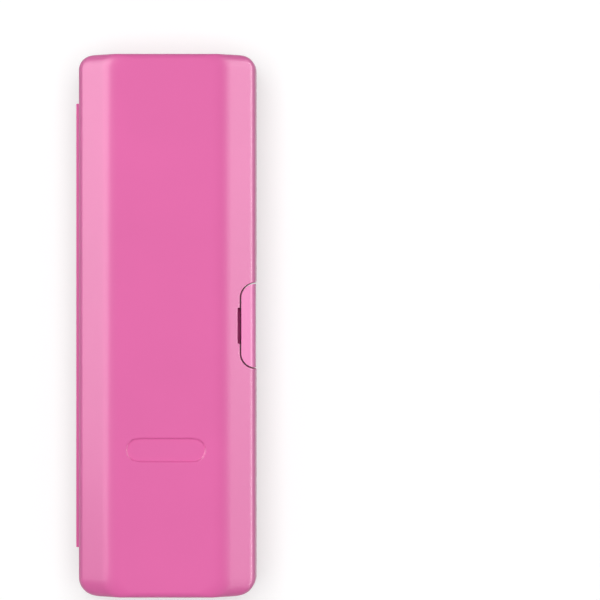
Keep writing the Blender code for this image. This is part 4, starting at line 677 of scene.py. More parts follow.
BUTTON_HALF, BUTTON_EDGE, BUTTON_RIM_PROUD, BUTTON_UNDER = np.array([9.7, 6.8]), 0.6, 0.42, -1.2
PANEL_RISE, PANEL_EASE, PANEL_CENTRE, PANEL_HALF = 0.28, 0.5, -1.2, (7.7, 14.2)
PANEL_TOP_CORNER, PANEL_LOW_CORNER = 3.2, 7.0
STEM_FOOT, STEM_RISES, STEM_STRAIGHT = 9.5, np.array([1.8, 0.2, 0]), 0.02
TOP_STEPS, TOP_GAP, UNDER_SHARES = 60, 0.01, np.array([0.03, 0.2, 0.4, 0.6, 0.8, 0.97, 1])[:, None]
LAMP_Y, LAMP_HALF, LAMP_STRAIGHT, LAMP_LOW = 5.0, 0.75, 1.75, 14.5
MARK_Y, MARK_RADIUS, MARK_CORE, MARK_WHITE = 10.4, 4.1, (1.75, 0.8), (0.75, 0.75, 0.75, 1)
OUTER_BLUR, INNER_BLUR = 0.02, 0.06


def panel_height(x, y):
    """0 round the pad and 1 on its panel, a rectangle with round corners, eased at its edge."""
    up = y - BUTTON_Y - PANEL_CENTRE
    corner = np.where(up > 0, PANEL_TOP_CORNER, PANEL_LOW_CORNER)
    over_x = np.abs(x - HANDLE[0]) - PANEL_HALF[0] + corner
    over_y = np.abs(up) - PANEL_HALF[1] + corner
    outside = np.hypot(np.maximum(over_x, 0), np.maximum(over_y, 0))
    inside = corner - outside - np.minimum(np.maximum(over_x, over_y), 0)
    return smooth_step(inside / PANEL_EASE)


def button_rows():
    """Rows from the pad's middle over its top, down its edge, back under it and down the stem."""
    edge = 1 - BUTTON_EDGE / BUTTON_HALF[0] * ARC_UP[::-1]
    shares = np.concatenate([np.linspace(0, edge[0] - TOP_GAP, TOP_STEPS), edge])[:, None]
    x, y = oval(*(shares * half for half in BUTTON_HALF))
    proud = BUTTON_RIM_PROUD + PANEL_RISE * panel_height(x, y)
    top = over_handle(x, y, proud) - rounded_drop((1 - shares) * BUTTON_HALF[0], BUTTON_EDGE)
    above, x, y = stack(x, y, top), x[-1], y[-1]
    side = towards(above[-1], stack(x, y, over_handle(x, y, BUTTON_UNDER)), (*SIDE_SHARES, 1))
    stem_x, stem_y = oval(STEM_RADIUS, STEM_STRAIGHT)
    x, y = x + UNDER_SHARES * (stem_x - x), y + UNDER_SHARES * (stem_y - y)
    under = stack(x, y, over_handle(x, y, BUTTON_UNDER))
    stem = stack(stem_x, stem_y, HANDLE[2] + STEM_FOOT + STEM_RISES[:, None])
    middle = stack(HANDLE[0] + 0 * stem_x, BUTTON_Y, HANDLE[2] + STEM_FOOT)
    return np.concatenate([above, side, under, stem, middle[None]])


def printed_ring(finish):
    """Prints a white ring on a finish: inside a circle about the mark's centre, outside an oval."""
    nodes, link = finish.node_tree.nodes, finish.node_tree.links.new
    colour = nodes["Principled BSDF"].inputs["Base Color"].links[0].from_socket
    place = nodes.new("ShaderNodeTexCoord").outputs["Object"]

    def within(size_x, size_y, blur):
        mapping = nodes.new("ShaderNodeMapping")
        mapping.vector_type = "TEXTURE"
        mapping.inputs["Location"].default_value = (HANDLE[0] * MM, MARK_Y * MM, 0)
        mapping.inputs["Scale"].default_value = (size_x * MM, size_y * MM, 1e6)
        link(place, mapping.inputs["Vector"])
        length = nodes.new("ShaderNodeVectorMath")
        length.operation = "LENGTH"
        link(mapping.outputs["Vector"], length.inputs[0])
        inside = nodes.new("ShaderNodeMapRange")
        link(length.outputs["Value"], inside.inputs["Value"])
        inside.inputs["From Min"].default_value = 1 + blur
        inside.inputs["From Max"].default_value = 1 - blur
        return inside.outputs["Result"]

    mask = nodes.new("ShaderNodeMath")
    mask.operation, mask.use_clamp = "SUBTRACT", True
    link(within(MARK_RADIUS, MARK_RADIUS, OUTER_BLUR), mask.inputs[0])
    link(within(*MARK_CORE, INNER_BLUR), mask.inputs[1])
    mixed(nodes, link, mask.outputs["Value"], colour, MARK_WHITE)


def lamp_oval(grow):
    """(x, y) of the lamp's outline, a short oval lying across the button, larger all round by grow."""
    half = LAMP_HALF + grow
    return HANDLE[0] + LAMP_STRAIGHT * OVAL_SHARE + half * OVAL_Y, LAMP_Y - half * OVAL_X


button_rubber = moulded("button_rubber", (0.016, 0.016, 0.017), 0.5, mottle=0.1, grain=0.3, shine=0.25)
printed_ring(button_rubber)
button = lay_skin("button_skin", button_rows(), button_rubber, "button", "power_button", slot="button_rubber")
shaped(button, "DIFFERENCE", column("lamp_seat", lamp_oval(FIT), LAMP_LOW - FIT, CUT_TOP, button_rubber))


# Charge lamp
# A clear lens that sits flush in the button.

LAMP_EDGE, LENS_STEPS = 0.15, (0, 0.2, 0.4)


def lamp_rows():
    """Rows from the lens's middle over its top, down its edge and back under it."""
    halves = np.concatenate([LENS_STEPS, LAMP_HALF - LAMP_EDGE * ARC_UP[::-1]])[:, None] - LAMP_HALF
    x, y = lamp_oval(halves)
    x = HANDLE[0] + (x - HANDLE[0]) * np.minimum(1, np.arange(len(halves)) / 2)[:, None]
    top = stack(x, y, over_handle(x, y, BUTTON_RIM_PROUD + PANEL_RISE) - rounded_drop(-halves, LAMP_EDGE))
    low = HANDLE[2] + LAMP_LOW + 0 * x[-1]
    return np.concatenate([top, [stack(x[-1], y[-1], low), stack(HANDLE[0], LAMP_Y, low)]])


lens = moulded("lamp_plastic", (0.30, 0.34, 0.31), 0.15, mottle=0.03, grain=0.03, coat=0.4)
lay_skin("lamp_skin", lamp_rows(), lens, "button", "charge_lamp", slot="lamp_plastic")


# Base cap
# The handle's white foot: a moulded disc with a well for the charger's pin in its middle, and a
# spigot with a groove that presses into the housing.

WELL_RADIUS, WELL_TOP, WELL_WALL = 2.6, 14.0, 1.3
SPIGOT_OUT, SPIGOT_IN, SPIGOT_TOP = 10.2, 7.5, 6.2
GROOVE_FLOOR, GROOVE_LOW, GROOVE_HIGH = 8.7, 3.2, 5.0
foot_edge = handle_line(0, CAP_TOP, count=9)
spigot = [(SPIGOT_OUT, CAP_TOP), (SPIGOT_OUT, GROOVE_LOW), (GROOVE_FLOOR, GROOVE_LOW),
          (GROOVE_FLOOR, GROOVE_HIGH), (SPIGOT_OUT, GROOVE_HIGH), (SPIGOT_OUT, SPIGOT_TOP),
          (SPIGOT_IN, SPIGOT_TOP), (SPIGOT_IN, CAP_TOP)]
well = [(0, WELL_TOP), (WELL_RADIUS, WELL_TOP), (WELL_RADIUS, 0)]
post_radius, post_top = WELL_RADIUS + WELL_WALL, WELL_TOP + WELL_WALL
post = [(post_radius, CAP_TOP), (post_radius, post_top), (0, post_top)]
edges = np.concatenate([[0, 0.4, 0.6], 0 * foot_edge[:-1, 0], [0.3], [0.2] * len(spigot), [0.2, 0.5, 0]])
turned("cap_skin", np.concatenate([well, foot_edge, spigot, post]), HANDLE, white, "base", "base_cap",
       slot="white_plastic", edges=edges)


# Foot seal
# A rubber ring with a round section, lying in the cap's groove.

SEAL_RADIUS, SEAL_LINE, SEAL_SIDES = 0.6, (9.6, 4.1), 20
seal_rubber = moulded("seal_rubber", (0.09, 0.09, 0.10), 0.6, mottle=0.08, grain=0.2)
section = np.linspace(0, 2 * math.pi, SEAL_SIDES, endpoint=False)
seal = SEAL_RADIUS * np.column_stack([np.cos(section), np.sin(section)]) + SEAL_LINE
turned("seal_skin", seal, HANDLE, seal_rubber, "base", "foot_seal", slot="seal_rubber", loop=True)


# Charging coil
# Lacquered copper wire, wound in even turns round the well's post.

COIL_IN, COIL_OUT, COIL_LOW, COIL_HIGH, COIL_TURNS, WIRE_STEPS, WIRE_FLAT = 4.2, 6.8, 2.3, 10.3, 16, 8, 0.6
LINE_STRETCH, LINE_TINTS, LINE_ROUGHNESS, LINE_GRAIN = 0.06, (0.8, 1.15), (0.7, 1.3), 0.05


def lined_metal(name, colour, roughness, line_size):
    """Turned metal: fine lines round the piece, which vary along its axis far faster than across."""
    finish, nodes, link = new_finish(name)
    stretch = nodes.new("ShaderNodeMapping")
    stretch.inputs["Scale"].default_value = (LINE_STRETCH, 1, LINE_STRETCH)
    link(nodes.new("ShaderNodeTexCoord").outputs["Object"], stretch.inputs["Vector"])
    lines = noise(nodes, link, stretch.outputs["Vector"], line_size, 3)
    rough = [share * roughness for share in LINE_ROUGHNESS]
    shader = dress(nodes, link, lines, lines, colour, LINE_TINTS, rough, LINE_GRAIN)
    shader.inputs["Metallic"].default_value = 1.0
    return finish


copper = lined_metal("copper", (0.60, 0.24, 0.10), 0.35, 0.4)
wire = (COIL_HIGH - COIL_LOW) / COIL_TURNS / 2
lay = np.linspace(0, COIL_TURNS, COIL_TURNS * WIRE_STEPS + 1)
wound = COIL_OUT - wire + wire * np.abs(np.sin(math.pi * lay)) ** WIRE_FLAT
wound = np.column_stack([wound, COIL_LOW + 2 * wire * lay])
turned("coil_skin", np.concatenate([wound, [(COIL_IN, COIL_HIGH), (COIL_IN, COIL_LOW)]]), HANDLE, copper,
       "base", "charging_coil", slot="copper", loop=True)


# Chassis, contacts and circuit board
# A grey moulded trough with cross walls, two sprung brass plates, and a green board with its switch
# and chips. Their plain shapes are right as they are, so they only get their finishes.

chassis_grey = moulded("chassis_plastic", (0.22, 0.24, 0.27), 0.5)
board_green = moulded("board_green", (0.02, 0.16, 0.06), 0.35, mottle=0.2, coat=0.3)
brass = lined_metal("brass", (0.62, 0.45, 0.20), 0.3, 0.3)
for node, finish in (("chassis", chassis_grey), ("circuit_board", board_green),
                     ("contact_low", brass), ("contact_high", brass)):
    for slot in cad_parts[node].material_slots:
        slot.material = finish


# Battery
# One cell in a shrink sleeve that laps over both its ends, with a bare nub.

CELL_RADIUS, CELL_LOW, CELL_HIGH, NUB_RADIUS, NUB_HIGH, LAP_RADIUS, LAP = 7.2, 21.1, 70.1, 2.6, 71.3, 5.8, 0.1
sleeve = moulded("battery_sleeve", (0.06, 0.26, 0.12), 0.3, mottle=0.08, coat=0.4)
cell = [(0, CELL_LOW), (LAP_RADIUS, CELL_LOW + LAP), (LAP_RADIUS, CELL_LOW), (CELL_RADIUS, CELL_LOW),
        (CELL_RADIUS, CELL_HIGH), (LAP_RADIUS, CELL_HIGH), (LAP_RADIUS, CELL_HIGH - LAP),
        (NUB_RADIUS, CELL_HIGH - LAP), (NUB_RADIUS, NUB_HIGH), (0, NUB_HIGH)]
turned("battery_skin", cell, HANDLE, sleeve, "base", "battery", slot="battery_sleeve",
       edges=[0, 0, 0.05, 0.6, 0.6, 0.05, 0, 0.1, 0.3, 0])


# Motor
# A drawn steel can with rolled edges, open at the front for the shaft.

CAN_RADIUS, CAN_IN, CAN_LOW, CAN_HIGH, CAN_END = 5.7, 4.1, 74.7, 99.7, 1.2
steel = lined_metal("steel", (0.56, 0.56, 0.57), 0.28, 0.25)
can = [(0, CAN_LOW), (CAN_RADIUS, CAN_LOW), (CAN_RADIUS, CAN_HIGH), (SHAFT_BORE, CAN_HIGH),
       (SHAFT_BORE, CAN_HIGH - CAN_END), (CAN_IN, CAN_HIGH - CAN_END), (CAN_IN, CAN_LOW + CAN_END),
       (0, CAN_LOW + CAN_END)]
turned("motor_skin", can, HANDLE, steel, "base", "motor", slot="steel",
       edges=[0, 0.7, 0.7, 0.3, 0.2, 0.3, 0.3, 0])


# Drive shaft
# One ground steel shaft from the rotor inside the motor to the tip that drives the brush head.

ROTOR_LOW, ROTOR_HIGH, ROTOR_RADIUS, SHAFT_RADIUS, SHAFT_TOP, TIP = 76.2, 98.2, 3.8, 1.8, 190.5, 0.5
shaft = [(0, ROTOR_LOW), (ROTOR_RADIUS, ROTOR_LOW), (ROTOR_RADIUS, ROTOR_HIGH), (SHAFT_RADIUS, ROTOR_HIGH),
         (SHAFT_RADIUS, SHAFT_TOP - TIP), (SHAFT_RADIUS - TIP, SHAFT_TOP), (0, SHAFT_TOP)]
# Painted shade: the steel of the shaft and its nose is painted dark, which tones down the lamps' reflections
# in it.
shaded_steel = lined_metal("shaded_steel", (0.20, 0.195, 0.20), 0.34, 0.25)
turned("shaft_skin", shaft, HANDLE, shaded_steel, "shaft", "drive_shaft", slot="steel",
       edges=[0, 0.4, 0.4, 0.3, 0.3, 0.3, 0])


# Shaft bush and nose
# A brass bearing pressed in under the shoulder, and the steel collar on the neck that the brush
# head clips over.

NOSE_LOW, NOSE_HIGH, NOSE_RADIUS, NOSE_GROOVE = 169.3, 179.3, 2.9, 2.55
bush = [(BUSH_OUT, BUSH_LOW), (BUSH_OUT, BUSH_HIGH), (SHAFT_BORE, BUSH_HIGH), (SHAFT_BORE, BUSH_LOW)]
turned("bush_skin", bush, HANDLE, brass, "base", "shaft_bush", slot="brass", edges=0.3, loop=True)
nose = [(NOSE_RADIUS, NOSE_LOW), (NOSE_RADIUS, NOSE_LOW + 6.6), (NOSE_GROOVE, NOSE_LOW + 6.9),
        (NOSE_GROOVE, NOSE_LOW + 8.1), (NOSE_RADIUS, NOSE_LOW + 8.4), (NOSE_RADIUS, NOSE_HIGH),
        (SHAFT_BORE, NOSE_HIGH), (SHAFT_BORE, NOSE_LOW)]
turned("nose_skin", nose, HANDLE, shaded_steel, "base", "shaft_nose", slot="steel",
       edges=[0.2, 0.2, 0.15, 0.15, 0.2, 0.4, 0.2, 0.2], loop=True)


# Handle cradle
# One moulded piece of deep pink ribs on a thin plate in the base: a funnel round the neck, side ribs,
# three saddles and an oval ring, all cut away to the handle's shape.

PLATE_LOW, PLATE_HIGH, RIB_THICK, RIB_TOP, RIB_EDGE = 2.1, 2.9, 1.4, 13.0, 0.3
CRADLE_SIDE, CRADLE_LEFT, CRADLE_MIDDLE = 16.9, 16.2, 100
FUNNEL_HALF, FUNNEL_TOP, FUNNEL_FOOT, FUNNEL_BEND, FUNNEL_ROUND = 6.2, 179.0, 161.0, 151.0, 3
LONG_RIB_END, SHORT_RIB_END, ROOTED, SIDE_ROOTED, RING_ROOTED = 45.0, 119.0, 0.2, 0.1, 0.15
SADDLES = (58.0, 97.0, 136.0)
RING_HALF, RING_STRAIGHT, RING_UP, RING_TOP = 4.5, 16.5, 26.0, 8.0
TAIL_HALF, TAIL_ROOM, TAIL_LAP, TAIL_MIDDLE, TAIL_THIN = 4.5, 3.5, 1, 38, 0.05
PATH_STEP, LEAST_STEP, PLATE_STEP = 2.0, 0.08, 1.0


def wall_height(x, depth):
    """How far the case's skin, moved inwards by depth, stands from its face at a place x."""
    _, inset, drop = side_line(depth)
    return np.interp(HALF_WIDTH - np.abs(x), inset[::-1], drop[::-1])


def under_handle(x, y):
    """The highest that a rib may reach under the handle over (x, y), with its clearance: as far below
    the axis as the handle's upper surface, made thicker by the fit, is above it."""
    return 2 * HANDLE[2] - over_handle(x, y, FIT)


def unit(ways):
    """Directions of length one."""
    return ways / np.linalg.norm(ways, axis=1, keepdims=True)


def rib(name, path, free, root, thick, finish, loop=False):
    """An upright rib of even thickness along a plan path (x, y), from the heights root to the free
    edge, which is rounded on both sides."""
    path = np.asarray(path, float)
    ahead = np.roll(path, -1, axis=0) - path
    if not loop:
        ahead[-1] = ahead[-2]
    ahead = unit(ahead)
    before = np.roll(ahead, 1, axis=0)
    if not loop:
        before[0] = ahead[0]
    ahead = unit(ahead + before)
    free, root = (np.broadcast_to(height, len(path))[:, None] for height in (free, root))
    half, edge = thick / 2, min(RIB_EDGE, thick / 3)
    across = half - edge * ARC_DOWN
    across = np.concatenate([[-half, -half], -across[::-1], across, [half, half]])
    fall = edge * ARC_UP
    rows = free - np.sign(free - root) * np.concatenate([[0, 0], fall[::-1], fall, [0, 0]])
    share = np.array([1, 0.5] + [0] * (across.size - 4) + [0.5, 1])
    points = stack(path[:, :1] - ahead[:, 1:] * across, path[:, 1:] + ahead[:, :1] * across,
                   rows + share * (root - rows))
    return lay_skin(name, points if loop else capped(points), finish, poles=not loop)


def resampled(path, step, loop=False):
    """Points about a step apart along a path, its corners kept."""
    path = np.asarray(path, float)
    if loop:
        path = np.concatenate([path, path[:1]])
    walk = np.append(0, np.cumsum(np.linalg.norm(np.diff(path, axis=0), axis=1)))
    steps = np.unique(np.round(np.concatenate([walk, np.arange(0, walk[-1], step)]), 5))
    steps = steps[np.append(True, np.diff(steps) > LEAST_STEP)]
    points = np.column_stack([np.interp(steps, walk, path[:, k]) for k in (0, 1)])
    return points[:-1] if loop else points


def plate(name, outline, low, high, middle, finish, body=None, *nodes, slot=None):
    """A thin plate of a plan outline that is all in sight from its middle, with rounded edges."""
    outline, middle = resampled(outline, PLATE_STEP, loop=True), np.array(middle, float)
    edge, lift = RIB_EDGE * ARC_DOWN, np.concatenate([ARC_UP, 2 - ARC_UP[-2::-1]]) / 2
    reach = 1 - np.concatenate([edge, edge[-2::-1]])[:, None] / np.linalg.norm(outline - middle, axis=1)
    x, y = np.moveaxis(middle + reach[..., None] * (outline - middle), -1, 0)
    low_z, high_z = (limit(x) if callable(limit) else limit + 0 * x for limit in (low, high))
    rim = stack(x, y, low_z + lift[:, None] * (high_z - low_z))
    poles = [stack(*middle, z + 0 * x[:1]) for z in (rim[0, :, 2].min(), rim[-1, :, 2].max())]
    return lay_skin(name, np.concatenate([poles[0], rim, poles[1]]), finish, body, *nodes, slot=slot)


def at_handle(offset, height):
    """Plan place of a point beside the handle, from its offset and its height above the foot."""
    return HANDLE[0] + offset, HANDLE[1] + height


def base_floor(x):
    """The lowest that the cradle may reach in the base at a place x."""
    return np.maximum(PLATE_LOW, wall_height(x, CASE_WALL + FIT))


# Painted light: the cradle is the base's deep pink made lighter, standing in for the light on the ribs' top
# edges.
cradle_pink_lit = moulded("cradle_plastic", (0.64, 0.035, 0.20), 0.42, coat=0.15)
funnel = [(CRADLE_SIDE, LONG_RIB_END), (CRADLE_SIDE, FUNNEL_BEND), (FUNNEL_HALF, FUNNEL_FOOT),
          (FUNNEL_HALF, FUNNEL_TOP)]
outline = [at_handle(x, y) for x, y in funnel]
outline += [at_handle(max(-x, -CRADLE_LEFT), y) for x, y in funnel[::-1]]
cradle = plate("cradle_skin", outline, base_floor, PLATE_HIGH, at_handle(0, CRADLE_MIDDLE), cradle_pink_lit,
               "base", "handle_cradle", slot="cradle_plastic")
ribs = []
for side, end in ((-1, SHORT_RIB_END), (1, LONG_RIB_END)):
    line = [at_handle(side * x, y) for x, y in [(CRADLE_SIDE, end)] + funnel[1:]]
    line = resampled(rounded_line(line, [0, FUNNEL_ROUND, FUNNEL_ROUND, 0]), PATH_STEP)
    root = base_floor(line[:, 0]) + SIDE_ROOTED
    ribs.append(rib("side_rib", line, RIB_TOP, root, RIB_THICK, cradle_pink_lit))
for height in SADDLES:
    line = resampled([at_handle(-CRADLE_SIDE, height), at_handle(CRADLE_SIDE, height)], 0.4)
    top = np.minimum(RIB_TOP, under_handle(*line.T))
    root = np.minimum(base_floor(line[:, 0]) + ROOTED, top - ROOTED)
    ribs.append(rib("saddle", line, top, root, RIB_THICK, cradle_pink_lit))
turn = np.radians(np.concatenate([np.linspace(-90, 90, 19), np.linspace(90, 270, 19)]))
middle = RING_HALF - RIB_THICK / 2
sides = np.repeat([RING_STRAIGHT, -RING_STRAIGHT], turn.size // 2)
ring = at_handle(sides + middle * np.cos(turn), RING_UP + middle * np.sin(turn))
line = resampled(np.column_stack(ring), 0.8, loop=True)
top = np.minimum(RING_TOP, under_handle(*line.T))
root = np.minimum(base_floor(line[:, 0]) + RING_ROOTED, top - ROOTED)
ribs.append(rib("ring_rib", line, top, root, RIB_THICK, cradle_pink_lit, loop=True))
low, high = RING_UP + TAIL_ROOM, LONG_RIB_END + TAIL_LAP
tail = [at_handle(way * TAIL_HALF, y) for way, y in ((-1, low), (1, low), (1, high), (-1, high))]
ribs.append(plate("tail", tail, PLATE_LOW + TAIL_THIN, PLATE_HIGH - TAIL_THIN,
                  at_handle(0, TAIL_MIDDLE), cradle_pink_lit))
shaped(cradle, "UNION", *ribs)


# Brush head bodies
# White moulded stems with a socket for the handle's nose, widening to a round cup that holds the
# turning disc. Two alike, lying in the lid with their bristles towards the base.

HEAD_X, HEAD_Z = 19.1, 25.4
HEADS = {"upper": 13.7, "lower": -90.7}
HEAD_STATIONS = np.array([(4.1, 6.5), (22.0, 5.4), (44.0, 4.2), (69.2, 4.2)])
CUP_UP, CUP_RADIUS, CUP_FRONT, CUP_BACK, CUP_EDGE, POCKET_FRONT = 69.2, 7.8, -3.0, 4.5, 1.0, -6.0
HEAD_STEPS = 50
SOCKET_RADIUS, SOCKET_TOP, HEAD_BORE, HEAD_BORE_TOP = 3.9, 16.0, 2.3, 34.0
DISC_RADIUS, DISC_FRONT, DISC_BACK, PIN_RADIUS, PIN_BACK = 6.4, -3.5, -0.8, 1.2, 0.8


def head_body(which, foot_y):
    """The turned stem joined to the cup, less the pocket and the pin's hole."""
    foot, middle = (HEAD_X, foot_y, HEAD_Z), (HEAD_X, foot_y + CUP_UP, HEAD_Z)
    heights = np.linspace(HEAD_STATIONS[0, 0], CUP_UP, HEAD_STEPS)
    outside = np.column_stack([waved(HEAD_STATIONS, heights), heights])
    bore = [(0, HEAD_BORE_TOP), (HEAD_BORE, HEAD_BORE_TOP), (HEAD_BORE, SOCKET_TOP),
            (SOCKET_RADIUS, SOCKET_TOP), (SOCKET_RADIUS, HEAD_STATIONS[0, 0])]
    edges = np.concatenate([[0, 0.5, 0.2, 0.3, 0.2, 0.3], 0 * heights[1:], [0]])
    stem = np.concatenate([bore, outside, [(0, CUP_UP)]])
    stem = turned(f"{which}_head_skin", stem, foot, head_white, "lid", f"{which}_head_body",
                  slot="head_plastic", edges=edges)
    cup = [(0, CUP_FRONT), (CUP_RADIUS, CUP_FRONT), (CUP_RADIUS, CUP_BACK - CUP_EDGE),
           (CUP_RADIUS - CUP_EDGE, CUP_BACK), (0, CUP_BACK)]
    cup = turned("cup", cup, middle, head_white, edges=[0, 0.3, 1.0, 1.0, 0], upright=True)
    pocket = [(0, POCKET_FRONT), (DISC_RADIUS + FIT, POCKET_FRONT), (DISC_RADIUS + FIT, DISC_BACK + FIT),
              (PIN_RADIUS + FIT, DISC_BACK + FIT), (PIN_RADIUS + FIT, PIN_BACK + FIT), (0, PIN_BACK + FIT)]
    pocket = turned("pocket", pocket, middle, head_white, upright=True)
    shaped(stem, "UNION", cup)
    return shaped(stem, "DIFFERENCE", pocket)


head_white = moulded("head_plastic", (0.86, 0.86, 0.86), 0.25, mottle=0.01, grain=0.04, coat=0.3)
for which, foot_y in HEADS.items():
    head_body(which, foot_y)


# Head rings
# A coloured band pushed over each head's foot, to tell one user's head from another's.

RING_LENGTH, RING_RADIUS = 3.8, 6.5
orange = moulded("orange_plastic", (0.82, 0.13, 0.03), 0.3, coat=0.3)
blue = moulded("blue_plastic", (0.30, 0.32, 0.72), 0.3, coat=0.3)
band = [(RING_RADIUS, 0), (RING_RADIUS, RING_LENGTH), (SOCKET_RADIUS, RING_LENGTH), (SOCKET_RADIUS, 0)]
for which, finish, slot in (("upper", orange, "orange_plastic"), ("lower", blue, "blue_plastic")):
    turned(f"{which}_ring_skin", band, (HEAD_X, HEADS[which], HEAD_Z), finish, "lid", f"{which}_head_ring",
           slot=slot, edges=[0.5, 0.2, 0.2, 0.3], loop=True)


# Head discs
# The round white plate that carries the bristles, turning on a pin at its back.

disc = [(0, DISC_FRONT), (DISC_RADIUS, DISC_FRONT), (DISC_RADIUS, DISC_BACK), (PIN_RADIUS, DISC_BACK),
        (PIN_RADIUS, PIN_BACK), (0, PIN_BACK)]
for which, foot_y in HEADS.items():
    turned(f"{which}_disc_skin", disc, (HEAD_X, foot_y + CUP_UP, HEAD_Z), head_white, f"{which}_disc",
           f"{which}_head_disc", slot="head_plastic", edges=[0, 0.4, 0.2, 0.2, 0.3, 0], upright=True)


# Bristles
# Round tufts of nylon strands, stapled into the disc in rings. One head has two dark green rings
# inside a white one and about a white middle, the other a green cross on white.

TUFT_RINGS = ((0.0, 1), (1.95, 8), (3.6, 12), (5.1, 16))
TUFT_RADIUS, STRAND_RADIUS, STRAND_SIDES = 0.74, 0.145, 6
STRAND_RISES, STRAND_SIZES = np.array([0, 0.5, 0.965, 0.99, 1.0]), np.array([1, 1, 1, 0.72, 0.3])
BRISTLE_REACH, BRISTLE_DISH, BRISTLE_FIELD, TIP_JITTER, TIP_LEAN, SUNK = 7.5, 0.7, 5.9, 0.12, 0.985, 0.05
CROSS_HALF, CROSS_TURN = 0.3, 0.22


def on_rings(rings):
    """Points (x, y) evenly spaced round (radius, count) rings, each ring starting on the x axis."""
    radius = np.concatenate([[ring] * count for ring, count in rings])
    turn = np.concatenate([np.arange(count) / count for _, count in rings]) * 2 * math.pi
    return np.column_stack([radius * np.cos(turn), radius * np.sin(turn)])


def strands(name, centre, tufts, seed, finish, body, *nodes):
    """Six-sided strands with round tips: nineteen to a tuft, one in its middle and two rings about
    it. Each stands on the disc, leans a little towards its middle, and ends on a shallow dish."""
    chance = np.random.default_rng(seed)
    spread = TUFT_RADIUS - STRAND_RADIUS
    inside = on_rings([(0, 1), (0.5 * spread, 6), (spread, 12)])
    roots = (tufts[:, None] + inside).reshape(-1, 2)
    away = np.linalg.norm(roots, axis=1, keepdims=True)
    jitter = TIP_JITTER * chance.random((len(roots), 1))
    length = BRISTLE_REACH - BRISTLE_DISH * (1 - away / BRISTLE_FIELD) - jitter
    spot = roots[:, None] * (1 + STRAND_RISES[:, None] * (TIP_LEAN - 1))
    spot = spot[:, :, None] + STRAND_SIZES[:, None, None] * on_rings([(STRAND_RADIUS, STRAND_SIDES)])
    points = stack(spot[..., 0], spot[..., 1], (DISC_FRONT + SUNK - STRAND_RISES * length)[..., None])
    index = np.arange(points[..., 0].size).reshape(points.shape[:3])
    beside = np.roll(index, -1, axis=2)
    sides = np.stack([index[:, :-1], index[:, 1:], beside[:, 1:], beside[:, :-1]], axis=-1).reshape(-1, 4)
    faces = sides.tolist() + index[:, 0].tolist() + index[:, -1, ::-1].tolist()
    return make_piece(name, points.reshape(-1, 3) + centre, faces, finish, body, *nodes, slot="nylon")


green_nylon = moulded("green_nylon", (0.004, 0.16, 0.155), 0.4, mottle=0.15, grain=0.05, shine=0.3)
white_nylon = moulded("white_nylon", (0.90, 0.91, 0.91), 0.4, mottle=0.03, grain=0.05)
tufts = on_rings(TUFT_RINGS)
far = np.linalg.norm(tufts, axis=1)
on_cross = np.abs(tufts).min(axis=1) < CROSS_HALF
in_rings = (far > TUFT_RINGS[0][0] + CROSS_HALF) & (far < TUFT_RINGS[-1][0] - CROSS_HALF)
cosine, sine = math.cos(CROSS_TURN), math.sin(CROSS_TURN)
tufts = tufts @ np.array([[cosine, sine], [-sine, cosine]])
for which, green, seed in (("upper", in_rings, 3), ("lower", on_cross, 5)):
    centre, body = (HEAD_X, HEADS[which] + CUP_UP, HEAD_Z), f"{which}_disc"
    strands(f"{which}_green_tufts", centre, tufts[green], seed, green_nylon, body, f"{which}_bristles")
    strands(f"{which}_white_tufts", centre, tufts[~green], seed + 1, white_nylon, body)


# Head cradle
# A thin plate under the lid's face with a pocket of thin ribs round each head, two saddles under
# each stem and a boss behind each cup, in a mid pink.

PLATE_UNDER, PLATE_OVER, PLATE_LEFT, PLATE_RIGHT, PLATE_LEAST = 35.4, 36.2, 7.6, 25.1, 0.25
HEAD_RIB, HEAD_ROOM, RIB_FREE, POCKET_FOOT = 0.8, 0.5, 27.0, 2.0
HEAD_SADDLES, SADDLE_HALF, BOSS_RADIUS, BOSS_FREE, BOSS_ROOT = (12.0, 50.0), 4.6, 3.0, 30.2, 35.85
POCKET_ROOTED, SADDLE_ROOTED, POCKET_STEPS, CUP_STEPS, EDGE_STEPS = 0.1, 0.3, 40, 50, 12


def lid_ceiling(x):
    """The highest that the head cradle may reach in the lid at a place x."""
    return np.minimum(PLATE_OVER, FACE_Z - wall_height(x, CASE_WALL + FIT))


def notch_room(y):
    """The furthest right that a rib's middle may lie at y, clear of the wall round the notch."""
    radius = NOTCH_RADIUS + CASE_WALL + FIT
    over = np.clip(np.abs(y) - BEND_Y, 0, radius)
    return BEND_X - np.sqrt(radius ** 2 - over ** 2) - HEAD_RIB / 2


def pocket_line(foot_y):
    """The closed plan line of a pocket's rib: round the foot, up the stem, round the cup and back."""
    grow = HEAD_ROOM + HEAD_RIB / 2
    reach = math.acos((HEAD_STATIONS[-1, 1] + grow) / (CUP_RADIUS + grow))
    heights = np.linspace(POCKET_FOOT, CUP_UP - (CUP_RADIUS + grow) * math.sin(reach), POCKET_STEPS)
    turn = np.linspace(-reach, math.pi + reach, CUP_STEPS)[1:-1]
    right = np.column_stack([waved(HEAD_STATIONS, heights) + grow, heights])
    cup = np.column_stack([np.cos(turn), np.sin(turn)]) * (CUP_RADIUS + grow) + [0, CUP_UP]
    foot = np.array([[HEAD_STATIONS[0, 1] + grow, -grow]])
    corners = np.concatenate([foot, right, cup, right[::-1] * [-1, 1], foot * [-1, 1]])
    line = rounded_line(corners, [1.0] + [0] * (len(corners) - 2) + [1.0]) + [HEAD_X, foot_y]
    line[:, 0] = np.minimum(line[:, 0], notch_room(line[:, 1]))
    return resampled(line, 1.2, loop=True)


